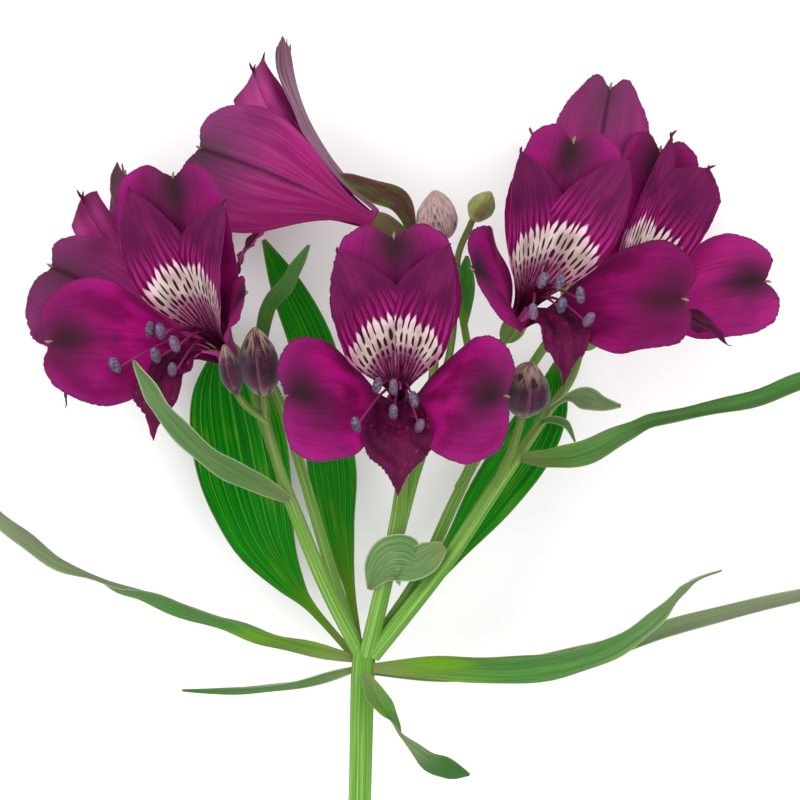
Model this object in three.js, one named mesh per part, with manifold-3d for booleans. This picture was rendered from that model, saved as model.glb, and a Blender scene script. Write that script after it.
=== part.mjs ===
// A cut alstroemeria (Peruvian lily) stem lying on a flat surface: one green stem whose five
// rays carry seven open blooms, with buds, small leaves and a whorl of long leaves.
// Millimetres, +Z up. +Y runs from the cut end to the blooms, and the blooms look up, to +Z.
import * as THREE from "three";
import { mergeVertices } from "three/addons/utils/BufferGeometryUtils.js";
import Module from "manifold-3d";

const wasm = await Module();
wasm.setup();

// ---------------------------------------------------------------- driving sizes
const BLADE = 0.65; // thickness of a tepal or a leaf
const GAP = 0.35; // air kept between two separate pieces
const SMALLEST = 0.04; // detail finer than this is merged away where solids are fused
const PEDICEL_RADIUS = 1.05;
const OVARY = { length: 9, radius: 2.9, ribs: 6 };

const GREEN = { color: 0x6f9f4a, roughness: 0.6 };
const LEAF_GREEN = { color: 0x3f8a24, roughness: 0.55 };
const MAGENTA = { color: 0x8c1a66, roughness: 0.6 };
const STRIPED = { color: 0xa0246f, roughness: 0.6 };
const SLATE = { color: 0x6c6480, roughness: 0.7 };
const BUD_PURPLE = { color: 0x5a2a48, roughness: 0.6 };

// ---------------------------------------------------------------- small helpers
const vec = ([x, y, z]) => new THREE.Vector3(x, y, z);
const rad = THREE.MathUtils.degToRad;
const mix = THREE.MathUtils.lerp;
const ease = (t) => t * t * (3 - 2 * t);

// A right-handed set of directions: a along the axis, u up from it, s to its right seen from in front.
function directions(axis, up) {
  const a = vec(axis).normalize();
  const u = vec(up);
  u.addScaledVector(a, -u.dot(a)).normalize();
  return { a, u, s: u.clone().cross(a) };
}

// Values of a list of equal rows at t from 0 to 1, smoothly through every row.
function through(rows, t) {
  const last = rows.length - 1;
  const at = Math.min(Math.floor(t * last), last - 1);
  const f = t * last - at;
  const row = (i) => rows[Math.max(0, Math.min(last, i))];
  return rows[0].map((_, k) => {
    const [p0, p1, p2, p3] = [row(at - 1)[k], row(at)[k], row(at + 1)[k], row(at + 2)[k]];
    const m1 = (p2 - p0) / 2;
    const m2 = (p3 - p1) / 2;
    return p1 + m1 * f + (3 * (p2 - p1) - 2 * m1 - m2) * f * f + (2 * (p1 - p2) + m1 + m2) * f * f * f;
  });
}

// ---------------------------------------------------------------- meshes
// A solid of a closed mesh, turned right side out where its faces wind inwards.
function solidOf(geometry) {
  const bare = new THREE.BufferGeometry().setAttribute("position", geometry.getAttribute("position"));
  bare.setIndex(geometry.index);
  const merged = mergeVertices(bare, 1e-4);
  const triVerts = new Uint32Array(merged.index.array);
  const vertProperties = new Float32Array(merged.attributes.position.array);
  const made = new wasm.Manifold(new wasm.Mesh({ numProp: 3, vertProperties, triVerts }));
  if (made.volume() > 0) return made;
  for (let i = 0; i < triVerts.length; i += 3)
    [triVerts[i + 1], triVerts[i + 2]] = [triVerts[i + 2], triVerts[i + 1]];
  return new wasm.Manifold(new wasm.Mesh({ numProp: 3, vertProperties, triVerts }));
}

function geometryOf(solid) {
  const mesh = solid.getMesh();
  const positions = new Float32Array(mesh.numVert * 3);
  for (let i = 0; i < mesh.numVert; i++)
    positions.set(mesh.vertProperties.subarray(i * mesh.numProp, i * mesh.numProp + 3), i * 3);
  const made = new THREE.BufferGeometry().setAttribute("position", new THREE.BufferAttribute(positions, 3));
  made.setIndex(new THREE.BufferAttribute(mesh.triVerts, 1));
  made.computeVertexNormals();
  return made;
}

function geometryFrom(points, faces) {
  const positions = new Float32Array(points.flatMap((p) => p.toArray()));
  const made = new THREE.BufferGeometry().setAttribute("position", new THREE.BufferAttribute(positions, 3));
  made.setIndex(faces.flat());
  return made;
}

// A closed blade: a grid of points, thickened alike to both sides of its surface.
function blade(grid, thickness) {
  const rows = grid.length;
  const columns = grid[0].length;
  const at = (i, j) => grid[Math.max(0, Math.min(rows - 1, i))][Math.max(0, Math.min(columns - 1, j))];
  const faceUp = [];
  const faceDown = [];
  for (let i = 0; i < rows; i++)
    for (let j = 0; j < columns; j++) {
      const along = at(i + 1, j).clone().sub(at(i - 1, j));
      const across = at(i, j + 1).clone().sub(at(i, j - 1));
      const normal = along.cross(across).normalize();
      faceUp.push(at(i, j).clone().addScaledVector(normal, thickness / 2));
      faceDown.push(at(i, j).clone().addScaledVector(normal, -thickness / 2));
    }
  const down = rows * columns;
  const n = (i, j) => i * columns + j;
  const faces = [];
  for (let i = 0; i + 1 < rows; i++)
    for (let j = 0; j + 1 < columns; j++) {
      const [p, q, r, s] = [n(i, j), n(i + 1, j), n(i + 1, j + 1), n(i, j + 1)];
      faces.push([p, q, r], [p, r, s], [down + p, down + r, down + q], [down + p, down + s, down + r]);
    }
  const rim = [];
  for (let j = 0; j + 1 < columns; j++) rim.push(n(0, j));
  for (let i = 0; i + 1 < rows; i++) rim.push(n(i, columns - 1));
  for (let j = columns - 1; j > 0; j--) rim.push(n(rows - 1, j));
  for (let i = rows - 1; i > 0; i--) rim.push(n(i, 0));
  rim.forEach((p, k) => {
    const q = rim[(k + 1) % rim.length];
    faces.push([p, q, down + q], [p, down + q, down + p]);
  });
  return solidOf(geometryFrom([...faceUp, ...faceDown], faces));
}

// A closed skin over rings of points, each end shut by a fan.
function skin(rings) {
  const sides = rings[0].length;
  const points = rings.flat();
  const faces = [];
  for (let i = 0; i + 1 < rings.length; i++)
    for (let k = 0; k < sides; k++) {
      const [p, q] = [i * sides + k, i * sides + ((k + 1) % sides)];
      faces.push([p, q, q + sides], [p, q + sides, p + sides]);
    }
  const top = (rings.length - 1) * sides;
  for (let k = 1; k + 1 < sides; k++) faces.push([0, k + 1, k], [top, top + k, top + k + 1]);
  return solidOf(geometryFrom(points, faces));
}

// A ring of points round a centre; radiusAt gives the radius at each turn.
function ringOf(centre, across, third, sides, radiusAt) {
  const ring = [];
  for (let k = 0; k < sides; k++) {
    const turn = (2 * Math.PI * k) / sides;
    const radius = radiusAt(turn);
    const point = centre.clone().addScaledVector(across, radius * Math.cos(turn));
    ring.push(point.addScaledVector(third, radius * Math.sin(turn)));
  }
  return ring;
}

// A round stalk through rows of [x, y, z, radius], `steps` rings to each row.
function stalk(rows, sides, steps, extra = 0) {
  const count = (rows.length - 1) * steps;
  const rings = [];
  let across = new THREE.Vector3(0.3, 0.2, 1);
  for (let i = 0; i <= count; i++) {
    const [x, y, z, radius] = through(rows, i / count);
    const before = through(rows, Math.max(0, i / count - 0.02));
    const after = through(rows, Math.min(1, i / count + 0.02));
    const along = vec(after).sub(vec(before)).normalize();
    across = across.addScaledVector(along, -across.dot(along)).normalize();
    const third = along.clone().cross(across);
    rings.push(ringOf(vec([x, y, z]), across, third, sides, () => radius + extra));
  }
  return skin(rings);
}

const joined = (solids) => solids.reduce((all, one) => all.add(one)).simplify(SMALLEST);
const largest = (solid) =>
  solid.decompose().reduce((best, one) => (one.volume() > best.volume() ? one : best));

// ---------------------------------------------------------------- a bloom
// A tepal: how far round the bloom's axis it stands (`turn`, in degrees from the right side), its
// length, half-width at the claw and at its widest, where that is as a share of the length, how much
// of that is a narrow `stalk`, how fast it widens (`swell`), how square its corners are, how much one
// half is wider (`skew`) and longer (`lobe`), how deep its tip is notched or how far and how sharply
// it is drawn to a point. Its rib leaves the bloom's axis at angle `from`, at a distance `root`, and
// bends out to angle `to`. `cup` is the curve across it, `fold` how far its margins stand up, and
// `wave` their ruffle.
const OUTER = {
  turn: 90, length: 49.5, claw: 2.2, half: 16, widest: 0.62, stalk: 0, swell: 0.9, corner: 0.78,
  skew: 0, lobe: 0, notch: 4.2, point: 0, sharp: 1.5, root: 2.6, from: 14, to: 65, bend: 1.3,
  cup: 0.022, fold: 0.03, wave: 0.7, waves: 2.3,
};
const LATERAL = {
  ...OUTER, length: 46, half: 16.3, widest: 0.7, stalk: 0.2, swell: 0.75, corner: 0.72, lobe: 5,
  notch: 2.6, from: 16, to: 60, bend: 1.1, cup: 0.014, fold: 0.01,
};
const UPPER_INNER = {
  length: 46, claw: 1.3, half: 8.7, widest: 0.6, stalk: 0, swell: 1.25, corner: 0.68, skew: 0, lobe: 0,
  notch: 0, point: 3, sharp: 2.4, root: 1.3, from: 10, to: 58, bend: 1.4, cup: 0.05, fold: 0,
  wave: 0.4, waves: 2,
};
const LOWER_INNER = {
  turn: -90, length: 37.5, claw: 1.3, half: 8, widest: 0.84, stalk: 0, swell: 0.9, corner: 0.74,
  skew: 0, lobe: 0, notch: 0, point: 6.5, sharp: 2.4, root: 1.3, from: 8, to: 100, bend: 1.5,
  cup: 0.06, fold: 0, wave: 1, waves: 3.4,
};
const KINDS = {
  upper: OUTER, outer_left: { ...LATERAL, turn: 202, skew: 0.14 },
  outer_right: { ...LATERAL, turn: -22, skew: -0.14 }, inner_left: { ...UPPER_INNER, turn: 122 },
  inner_right: { ...UPPER_INNER, turn: 60 }, lower: LOWER_INNER,
};

// The rib as distances along the axis and out from it, with its angle, at a length y along it.
function rib(tepal) {
  const steps = 24;
  const step = tepal.length / steps;
  const angleAt = (s) => rad(tepal.from + (tepal.to - tepal.from) * Math.pow(Math.max(s, 0), tepal.bend));
  const table = [[0, tepal.root]];
  for (let i = 0; i < steps; i++) {
    const angle = angleAt((i + 0.5) / steps);
    table.push([table[i][0] + step * Math.cos(angle), table[i][1] + step * Math.sin(angle)]);
  }
  return (y) => {
    const share = Math.max(0, y / step);
    const low = Math.min(Math.floor(share), steps - 1);
    const [p, q] = [table[low], table[low + 1]];
    const f = share - low;
    return { a: mix(p[0], q[0], f), r: mix(p[1], q[1], f), angle: angleAt(y / tepal.length) };
  };
}

// The tepal's flat outline as a grid: a claw that widens, then half an ellipse above the widest line.
function flat(tepal, rowsBelow, rowsAbove, columns) {
  const widest = tepal.widest * tepal.length;
  const above = tepal.length - widest;
  const grid = [];
  for (let i = 0; i <= rowsBelow + rowsAbove; i++) {
    const row = [];
    for (let j = 0; j <= columns; j++) {
      const v = (2 * j) / columns - 1;
      const s = Math.min(1, i / rowsBelow);
      const t = Math.max(0, (i - rowsBelow) / rowsAbove);
      const spread = ease(Math.max(0, (s - tepal.stalk) / (1 - tepal.stalk)));
      const half = mix(tepal.claw, tepal.half, Math.pow(spread, tepal.swell));
      const x = half * v * (1 + tepal.skew * v) * (1 - (1 - tepal.corner) * Math.pow(t, 2.3));
      const notch = (tepal.notch / above) * Math.exp(-Math.pow(v / 0.34, 2)) * t;
      const tip = tepal.point * t * t * Math.pow(1 - Math.abs(v), tepal.sharp);
      const round = 1 - (1 - tepal.corner) * Math.pow(Math.abs(v), 2.3);
      const further = tepal.lobe * s * Math.max(0, Math.sign(tepal.skew) * v);
      row.push([x, s * widest + above * t * (round - notch) + tip + further]);
    }
    grid.push(row);
  }
  return grid;
}

// Bends the flat outline along its rib. By the claw the tepal wraps round the axis, and it opens out
// flatter above.
function tepalGrid(base, frame, tepal, rowsBelow, rowsAbove, columns) {
  const { turn } = tepal;
  const along = rib(tepal);
  const [c, s] = [Math.cos(rad(turn)), Math.sin(rad(turn))];
  const out = frame.s.clone().multiplyScalar(c).addScaledVector(frame.u, s);
  const side = frame.s.clone().multiplyScalar(-s).addScaledVector(frame.u, c);
  return flat(tepal, rowsBelow, rowsAbove, columns).map((row) =>
    row.map(([x, y]) => {
      const { a, r, angle } = along(y);
      const share = y / tepal.length;
      const inward = frame.a.clone().multiplyScalar(Math.sin(angle)).addScaledVector(out, -Math.cos(angle));
      const wrap = mix(1 / r, tepal.cup, ease(Math.min(1, share / 0.45)));
      const v = x / tepal.half;
      const phase = 2 * Math.PI * tepal.waves * share + (v > 0 ? 0.9 : 0) + turn;
      const ruffle = tepal.wave * v * v * ease(Math.min(1, share * 1.3)) * Math.sin(phase);
      const lift = (1 - Math.cos(wrap * x)) / wrap + tepal.fold * Math.abs(x) * share + ruffle;
      const lean = Math.sin(wrap * x) / wrap;
      const point = base.clone().addScaledVector(frame.a, a).addScaledVector(out, r);
      return point.addScaledVector(side, lean).addScaledVector(inward, lift);
    }),
  );
}

// A ring or disc round the bloom's axis, from radius r0 to r1 and from a0 to a1 along the axis.
function collar(base, frame, r0, r1, a0, a1, sides) {
  const corners = [[r0, a0], [r1, a0], [r1, a1], [r0, a1], [r0, a0]];
  const outline = corners.map(([r, a]) => new THREE.Vector2(r, a));
  const made = new THREE.LatheGeometry(r0 > 0 ? outline : outline.slice(0, 4), sides);
  made.applyMatrix4(new THREE.Matrix4().makeBasis(frame.s, frame.a, frame.s.clone().cross(frame.a)));
  made.translate(base.x, base.y, base.z);
  return solidOf(made);
}

// Where the six anthers sit: distance along the axis, to its right and above it.
const ANTHERS = [
  [26, 3.7, -9.2], [26, -1, -6.2], [25, -4.7, -5.4],
  [28, -9.5, -16], [25.4, -1, -12], [26, 5, -15.6],
];
const ANTHER = { length: 3.4, radius: 1.2 };
const FILAMENT_RADIUS = 0.4;

// Six bent filaments on one small disc, each swelling into its anther.
function stamens(base, frame, droop) {
  const place = (a, s, u) =>
    base.clone().addScaledVector(frame.a, a).addScaledVector(frame.s, s).addScaledVector(frame.u, u);
  const parts = [collar(base, frame, 0, 1.05, 2.4, 3.4, 6)];
  ANTHERS.forEach(([a, right, above], k) => {
    const turn = (2 * Math.PI * (k + 0.5)) / ANTHERS.length;
    const [s, u] = [right * droop, above * droop];
    const path = [
      place(2.9, 0.8 * Math.cos(turn), 0.8 * Math.sin(turn)),
      place(a * 0.6, 1.2 * Math.cos(turn) + s * 0.2, 1.2 * Math.sin(turn) + u * 0.16),
      place(a, s, u),
    ];
    const rings = path.map((p) => ringOf(p, frame.s, frame.u, 4, () => FILAMENT_RADIUS));
    [[0.7, 1], [ANTHER.length, 0.7]].forEach(([further, share]) => {
      const centre = place(a + further, s, u);
      rings.push(ringOf(centre, frame.s, frame.u, 4, () => ANTHER.radius * share));
    });
    parts.push(skin(rings));
  });
  return joined(parts);
}

// The ribbed green ovary under a bloom, its flat top a gap below the tepals.
function ovary(base, frame, sides) {
  const profile = [[0, 1.2], [0.2, 2.1], [0.7, 2.9], [1, 2.4]];
  return skin(
    profile.map(([t, radius]) => {
      const centre = base.clone().addScaledVector(frame.a, -GAP - OVARY.length * (1 - t));
      const height = 0.07 * Math.sin(Math.PI * Math.min(t, 0.9));
      const ribbed = (turn) => radius * (1 + height * Math.cos(OVARY.ribs * turn));
      return ringOf(centre, frame.s, frame.u, sides, ribbed);
    }),
  );
}

// ---------------------------------------------------------------- leaves and buds
// A leaf through rows of [x, y, z, half-width, roll in degrees]. At roll 0 its face looks up.
// fold is how far its midrib sinks as a share of its half-width, wave how far its margins sway.
function leafGrid(rows, steps, columns, fold, wave) {
  const count = (rows.length - 1) * steps;
  const grid = [];
  for (let i = 0; i <= count; i++) {
    const [x, y, z, half, roll] = through(rows, i / count);
    const before = through(rows, Math.max(0, i / count - 0.02));
    const after = through(rows, Math.min(1, i / count + 0.02));
    const along = vec(after).sub(vec(before)).normalize();
    const flatSide = along.clone().cross(new THREE.Vector3(0, 0, 1)).normalize();
    const flatUp = flatSide.clone().cross(along);
    const side = flatSide.clone().multiplyScalar(Math.cos(rad(roll)));
    side.addScaledVector(flatUp, Math.sin(rad(roll)));
    const up = side.clone().cross(along);
    const row = [];
    for (let j = 0; j <= columns; j++) {
      const v = (2 * j) / columns - 1;
      const sway = wave * v * v * Math.sin((5.5 * i) / steps + (v > 0 ? 1.3 : 0));
      const lift = half * fold * (Math.abs(v) - 0.4) + sway * Math.min(1, half / 3);
      row.push(vec([x, y, z]).addScaledVector(side, v * half).addScaledVector(up, lift));
    }
    grid.push(row);
  }
  return grid;
}

// A closed bud: three pairs of keels running up a pointed egg.
function bud(base, axis, length, radius, sides) {
  const frame = directions(axis, [0.2, 0.97, -0.1]);
  const profile = [[0, 0.3], [0.1, 0.62], [0.35, 1], [0.62, 0.93], [0.86, 0.55], [1, 0.16]];
  return skin(
    profile.map(([t, share]) => {
      const centre = vec(base).addScaledVector(frame.a, length * t);
      const keel = 0.09 * Math.sin(Math.PI * t);
      const keeled = (turn) => radius * share * (1 + keel * Math.cos(3 * turn + 0.6));
      return ringOf(centre, frame.s, frame.u, sides, keeled);
    }),
  );
}

// ---------------------------------------------------------------- the plant's layout
// Each bloom: where its tepals spring from the ovary, the way it looks, its upper side, and what
// sets single tepals apart. `droop` is how far its stamens bend down (1 is fully), `columns` how
// finely its outer tepals are cut across, and `ray` the path of its stalk, [x, y, z, radius].
const BLOOMS = {
  left: {
    base: [-40.5, 10.5, 46], axis: [-0.45, 0.4, 0.8], up: [0.26, 0.85, -0.38],
    upper: { turn: 94, length: 51.5 }, outer_left: { turn: 207, half: 18, length: 47, lobe: 2 },
    outer_right: { turn: 10, half: 7, length: 37, to: 48, lobe: 0 }, inner_left: { turn: 115 },
    inner_right: { turn: 54 }, lower: { turn: -86, length: 39, half: 6.4 },
    ray: [[-9.2, -60.4, 35, 1.9], [-17.7, -43.7, 40, 1.8], [-25.7, -24, 43, 1.6],
      [-29.5, -13.5, 41, 1.2], [-33.2, -2.5, 39, 1.1]],
  },
  left_back: {
    base: [-45.9, 14.4, 24.96], axis: [-0.87, 0.48, -0.05], up: [0.48, 0.87, 0.05],
    upper: { length: 48, half: 13, to: 58 },
    outer_right: { length: 46, half: 15, turn: -4, skew: -0.26, lobe: 0, to: 36, wave: 1.3, waves: 4 },
    outer_left: { turn: 210, half: 11, to: 44 }, lower: { half: 5 },
    inner_right: { turn: 46, to: 50, length: 46, half: 8, corner: 0.88, point: 1, cup: 0.03 },
    columns: 4, droop: 0.5,
    ray: [[-10.2, -59.8, 33, 1.5], [-17.1, -38, 34, 1.4], [-23.1, -17.8, 31, 1.3],
      [-27.5, -3.5, 27, 1.2], [-31, 4, 26, 1.1]],
  },
  top_left: {
    base: [-6.5, 43, 31], axis: [-0.87, 0.48, -0.05], up: [0.48, 0.87, 0.05],
    upper: { length: 49, half: 13, to: 60 },
    outer_right: { length: 55.8, half: 16, turn: -7, to: 62, widest: 0.65, stalk: 0.06, swell: 0.8, lobe: -1.8 },
    outer_left: { turn: 210, half: 11, to: 58 }, lower: { half: 3.5, length: 36 },
    inner_left: { to: 50, half: 7.5 },
    inner_right: { turn: 44.5, to: 57, length: 47, half: 9.3, corner: 0.94, point: 1, cup: 0.03 },
    columns: 4, droop: 0.6,
    ray: [[-0.2, -31, 42, 1.4], [3.1, -18.9, 36, 1.3], [6.5, -7, 30, 1.2], [8.4, 14, 26, 1.1],
      [8.4, 31, 27, 1.1]],
  },
  centre: {
    base: [-0.5, -0.5, 48], axis: [0, 0.34, 0.94], up: [0, 0.94, -0.34],
    upper: { turn: 92, half: 15.4 },
    outer_left: { length: 43.6, half: 16.6, skew: 0.17, lobe: 8, notch: 1.2 },
    outer_right: { length: 42.2, half: 16.6, skew: -0.17, lobe: 8, notch: 1.2 },
    inner_left: { half: 9.6 }, inner_right: { turn: 64 },
    ray: [[-7.8, -60.4, 36, 2.1], [-4.2, -44.8, 41, 2], [-0.9, -30.1, 43, 1.9], [0.5, -16.5, 40, 1.4]],
  },
  right: {
    base: [28, 19, 46], axis: [0.33, 0.49, 0.81], up: [-0.1, 0.87, -0.48],
    upper: { turn: 83, half: 13.6 },
    outer_left: { turn: 187, half: 13.6, length: 33, to: 62, skew: 0, lobe: 0, widest: 0.6, stalk: 0.08 },
    outer_right: { half: 18, turn: -24, length: 47, to: 63, lobe: 4.5 },
    inner_left: { turn: 117, length: 43 }, inner_right: { turn: 55 }, lower: { half: 6.4, turn: -92 },
    ray: [[-7.4, -59.8, 33, 1.7], [4, -42.9, 35, 1.5], [11.6, -26.8, 35, 1.4], [18, -12.3, 33, 1.2],
      [22, 4, 33, 1.1]],
  },
  right_back: {
    base: [48, 18, 20], axis: [0.38, 0.55, 0.74], up: [-0.1, 0.7, -0.6],
    upper: { half: 11, turn: 84, to: 70 },
    outer_left: { turn: 208, to: 44, half: 8, length: 34, lobe: 0 },
    outer_right: { turn: -9.5, half: 16.5, length: 46, skew: -0.14, lobe: 4, cup: 0.006 },
    inner_left: { turn: 84, to: 60, half: 4, length: 48 },
    inner_right: { turn: 59, half: 8.6, corner: 0.8, point: 1.5 },
    lower: { length: 45, half: 4, turn: -66, from: 12, to: 62, bend: 1.1 }, columns: 4, droop: 0.75,
    ray: [[-6.6, -60.4, 36, 2], [10.1, -39.1, 42, 1.9], [21.9, -21.2, 44, 1.8], [28.2, -12.2, 43, 1.5],
      [35, -3, 31, 1.2], [41, 5, 16, 1.1]],
  },
  top_right: {
    base: [42, 31, 27], axis: [0.2, 0.9, -0.34], up: [0, 0.34, 0.9],
    upper: { length: 48, to: 42, half: 11.5, corner: 0.64 },
    outer_left: { turn: 210, to: 34, half: 8, length: 37, lobe: 0 },
    outer_right: { turn: -30, to: 34, half: 9, length: 42, lobe: 0 },
    inner_left: { turn: 128, to: 26, length: 38, half: 6 },
    inner_right: { turn: 52, to: 26, length: 38, half: 6 },
    lower: { to: 30, length: 28, half: 6, point: 4 }, columns: 4, droop: 0.35,
    ray: [[14, -21, 34.5, 1.3], [21, -9, 30, 1.2], [28, 3, 29, 1.1], [34.5, 13, 31, 1.1]],
  },
};

const MAIN_STEM = [
  [-11.5, -184, 2.24, 2.6], [-11.3, -160, 5, 2.7], [-10.4, -125, 15, 2.7], [-9.4, -90, 26.5, 2.7],
  [-8.8, -66, 33.5, 2.8], [-8.2, -59, 35.5, 2.6],
];
// The thin stalks of the buds.
const TWIGS = [
  [[-25.7, -24, 43, 1.3], [-29, -13, 50, 1.1], [-31, -5, 56, 1], [-31.4, 0.4, 59.5, 1]],
  [[-31, -5, 56, 1], [-35.4, -1.5, 60.5, 0.9], [-37.2, 0.8, 61.8, 0.9]],
  [[21.9, -21.2, 44, 1.3], [26, -12, 50, 1.1], [28.2, -4.5, 54, 1]],
  [[6.5, -7, 30, 1.1], [12, 12, 30, 0.9], [13, 30, 34, 0.8], [10.5, 37, 37, 0.8]],
  [[20, -4, 33, 1], [15.5, 16, 33, 0.9], [13.5, 32, 37, 0.8], [16.5, 41, 39, 0.8]],
];

const LEAVES = {
  leaf_far_left: {
    rows: [[-11, -61.3, 33.6, 1, 10], [-26.8, -57.3, 36, 3, 50], [-41.3, -52.4, 40, 4, 62],
      [-58.9, -46.2, 42, 4, 66], [-70.8, -42.5, 40, 3.6, 90], [-84.2, -36.3, 34, 3.4, 118],
      [-95.5, -27.9, 26, 2.6, 125], [-101, -23.5, 22, 0.5, 125]],
    steps: 2, columns: 2, fold: 0.35, wave: 0.4,
  },
  leaf_short_left: {
    rows: [[-11.2, -64, 32.8, 0.8, 20], [-24.5, -67.3, 32, 2.6, 66], [-39.3, -68.9, 29, 2.6, 68],
      [-52.1, -69.3, 26, 0.5, 60]],
    steps: 2, columns: 2, fold: 0.3, wave: 0,
  },
  leaf_broad_left: {
    rows: [[-10.4, -61.5, 31, 0.9, 0], [-21, -50, 23, 1.2, 0], [-26.5, -43.5, 20, 3.6, -4],
      [-32.5, -34, 17, 7.6, -6], [-36.5, -22, 14, 10.6, -6], [-39.3, -9, 12, 11.4, -6],
      [-41.5, 4, 11, 8.6, -4], [-43, 14, 12.5, 0.8, 0]],
    steps: 1, columns: 4, fold: 0.16, wave: 0.5,
  },
  leaf_middle: {
    rows: [[-9.4, -60, 31.6, 0.8, 0], [-12, -45.5, 23, 1.3, 0], [-14.7, -31.2, 19, 3.9, 6],
      [-16.1, -18, 17, 5.8, 6], [-18.1, -3, 16, 5.8, 4], [-21.2, 13, 16, 5.4, 0],
      [-27.6, 27.6, 17, 3.8, -6], [-32.8, 38.5, 19, 0.5, -10]],
    steps: 1, columns: 4, fold: 0.3, wave: 0.4,
  },
  leaf_right_back: {
    rows: [[-6.6, -61, 31.6, 0.8, 0], [4.8, -46.5, 23, 1.7, 0], [12.5, -36.5, 20, 3, 0],
      [21.6, -24, 17, 5.9, 6], [30.1, -12, 15, 6.8, 8], [35.7, -1.2, 15, 5, 6], [37.5, 9, 17, 0.6, 0]],
    steps: 1, columns: 4, fold: 0.25, wave: 0.4,
  },
  leaf_right_front: {
    rows: [[-6.4, -63.4, 36.4, 1.1, -10], [10.6, -62.8, 41, 3.6, -36], [28.2, -62.9, 44, 4.4, -40],
      [44.7, -59.7, 45, 4.4, -48], [56.4, -53.6, 45, 3.6, -50], [63.6, -47, 44, 2.8, -60],
      [69, -42.5, 42, 1.8, -70], [76, -40.1, 40, 0.5, -70]],
    steps: 2, columns: 2, fold: 0.35, wave: 0.3,
  },
  leaf_far_right: {
    rows: [[-6.6, -64.4, 32, 0.9, 0], [11.9, -65.3, 28, 2.4, 30], [31, -64, 26, 3, 40],
      [50.2, -59.7, 25, 3.2, 50], [70.9, -53, 24, 3, 52], [95.9, -47.2, 20, 2.2, 50],
      [106.8, -43.9, 18, 0.5, 50]],
    steps: 2, columns: 2, fold: 0.35, wave: 0.2,
  },
  leaf_upper_right: {
    rows: [[28.2, -13.4, 44.7, 1, 0], [35.2, -13.7, 48, 2.4, 20], [43.9, -12.2, 49, 3, 10],
      [53.5, -7.5, 49, 2.6, 40], [62.5, -4.4, 47, 2.8, 60], [80.3, -0.9, 41, 3, 52],
      [94.7, 4, 35, 2.8, 44], [107.6, 10, 29, 0.5, 40]],
    steps: 2, columns: 2, fold: 0.3, wave: 0.3,
  },
  leaf_hanging: {
    rows: [[-8.4, -65, 36.6, 1, 0], [-5.2, -70.6, 42, 2.8, 30], [-2.1, -74.8, 44, 2.4, 60],
      [0.5, -79.2, 45, 2.4, 100], [5.9, -84.7, 44, 3.4, 130], [11.8, -87.4, 42, 2.8, 150],
      [16.4, -88.5, 40, 0.4, 150]],
    steps: 2, columns: 2, fold: 0.3, wave: 0.2,
  },
  bract_left: {
    rows: [[-26, -23.4, 44.9, 1, 0], [-35, -18.2, 56, 2.8, 20], [-43.3, -12.8, 70, 3.2, 36],
      [-52, -3.6, 85, 3.2, 44], [-56.5, 3.4, 90, 2.4, 44], [-60, 8.9, 93, 0.4, 40]],
    steps: 2, columns: 2, fold: 0.5, wave: 0.3,
  },
  bract_centre: {
    rows: [[10.3, -34.2, 47, 1.2, 0], [7, -36.4, 47.6, 3.5, 0], [3.5, -38.3, 47.4, 4, 0],
      [0.7, -37.4, 47.3, 6, 4], [-2.3, -37.8, 46.6, 5.8, 8], [-4.9, -40, 45.4, 4, 14],
      [-7.2, -44.6, 43.8, 0.6, 14]],
    steps: 2, columns: 4, fold: 0.3, wave: 0.3,
  },
  bract_bud_left: {
    rows: [[-31.6, -5.4, 54.6, 0.8, 0], [-32.6, 8, 50.5, 1.1, 10], [-31, 20.6, 48.5, 2.1, 30],
      [-26.2, 26.9, 50, 2.6, 40], [-23.4, 32.3, 50, 1.7, 40], [-21.3, 36.3, 48, 0.4, 40]],
    steps: 1, columns: 2, fold: 0.4, wave: 0.2,
  },
  bract_right: {
    rows: [[35.2, -2.4, 32.6, 0.6, 0], [39.6, 0.6, 37, 0.9, 0], [43.7, 0.4, 39, 2.8, 10],
      [47.9, -0.9, 39.5, 1.8, 10], [52.2, -1.4, 38, 0.4, 0]],
    steps: 1, columns: 2, fold: 0.3, wave: 0.2,
  },
  bract_curl: {
    rows: [[33.2, -5.2, 35.2, 0.6, 0], [36, -4.6, 38.8, 0.9, 10], [39.1, -5.9, 41, 1.2, 40],
      [41.2, -9.9, 41.5, 0.4, 60]],
    steps: 1, columns: 2, fold: 0.3, wave: 0,
  },
  bract_top_left: {
    rows: [[7, 30.8, 28.6, 0.7, 0], [3.4, 36, 35, 1, 0], [2.2, 42, 41, 1.6, 0],
      [-0.5, 47.1, 44, 2.8, 10], [-6.6, 49.4, 45.5, 2.7, 20], [-11.3, 51.7, 45.5, 1.6, 20],
      [-14.1, 53, 45, 0.4, 20]],
    steps: 1, columns: 2, fold: 0.4, wave: 0.2,
  },
  bract_bud_right: {
    rows: [[15.2, 17.4, 34.2, 0.7, 0], [15.4, 27.1, 41, 2.4, 10], [15.8, 34, 41, 0.4, 10]],
    steps: 2, columns: 2, fold: 0.4, wave: 0,
  },
};

const BUDS = {
  bud_left_large: { base: [-31.5, 1.6, 60.1], axis: [-0.1, 0.8, 0.6], length: 18.5, radius: 4.6 },
  bud_left_small: { base: [-37.8, 1.6, 62.4], axis: [-0.2, 0.82, 0.55], length: 13.5, radius: 2.5 },
  bud_right: { base: [28.5, -3, 54.8], axis: [0.1, 0.75, 0.65], length: 15, radius: 5.3 },
  bud_top: { base: [10, 38, 37.9], axis: [-0.15, 0.9, 0.3], length: 12, radius: 4.8 },
  bud_top_green: { base: [17.3, 42.5, 39.3], axis: [0.5, 0.8, 0.3], length: 8, radius: 3 },
};

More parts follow.
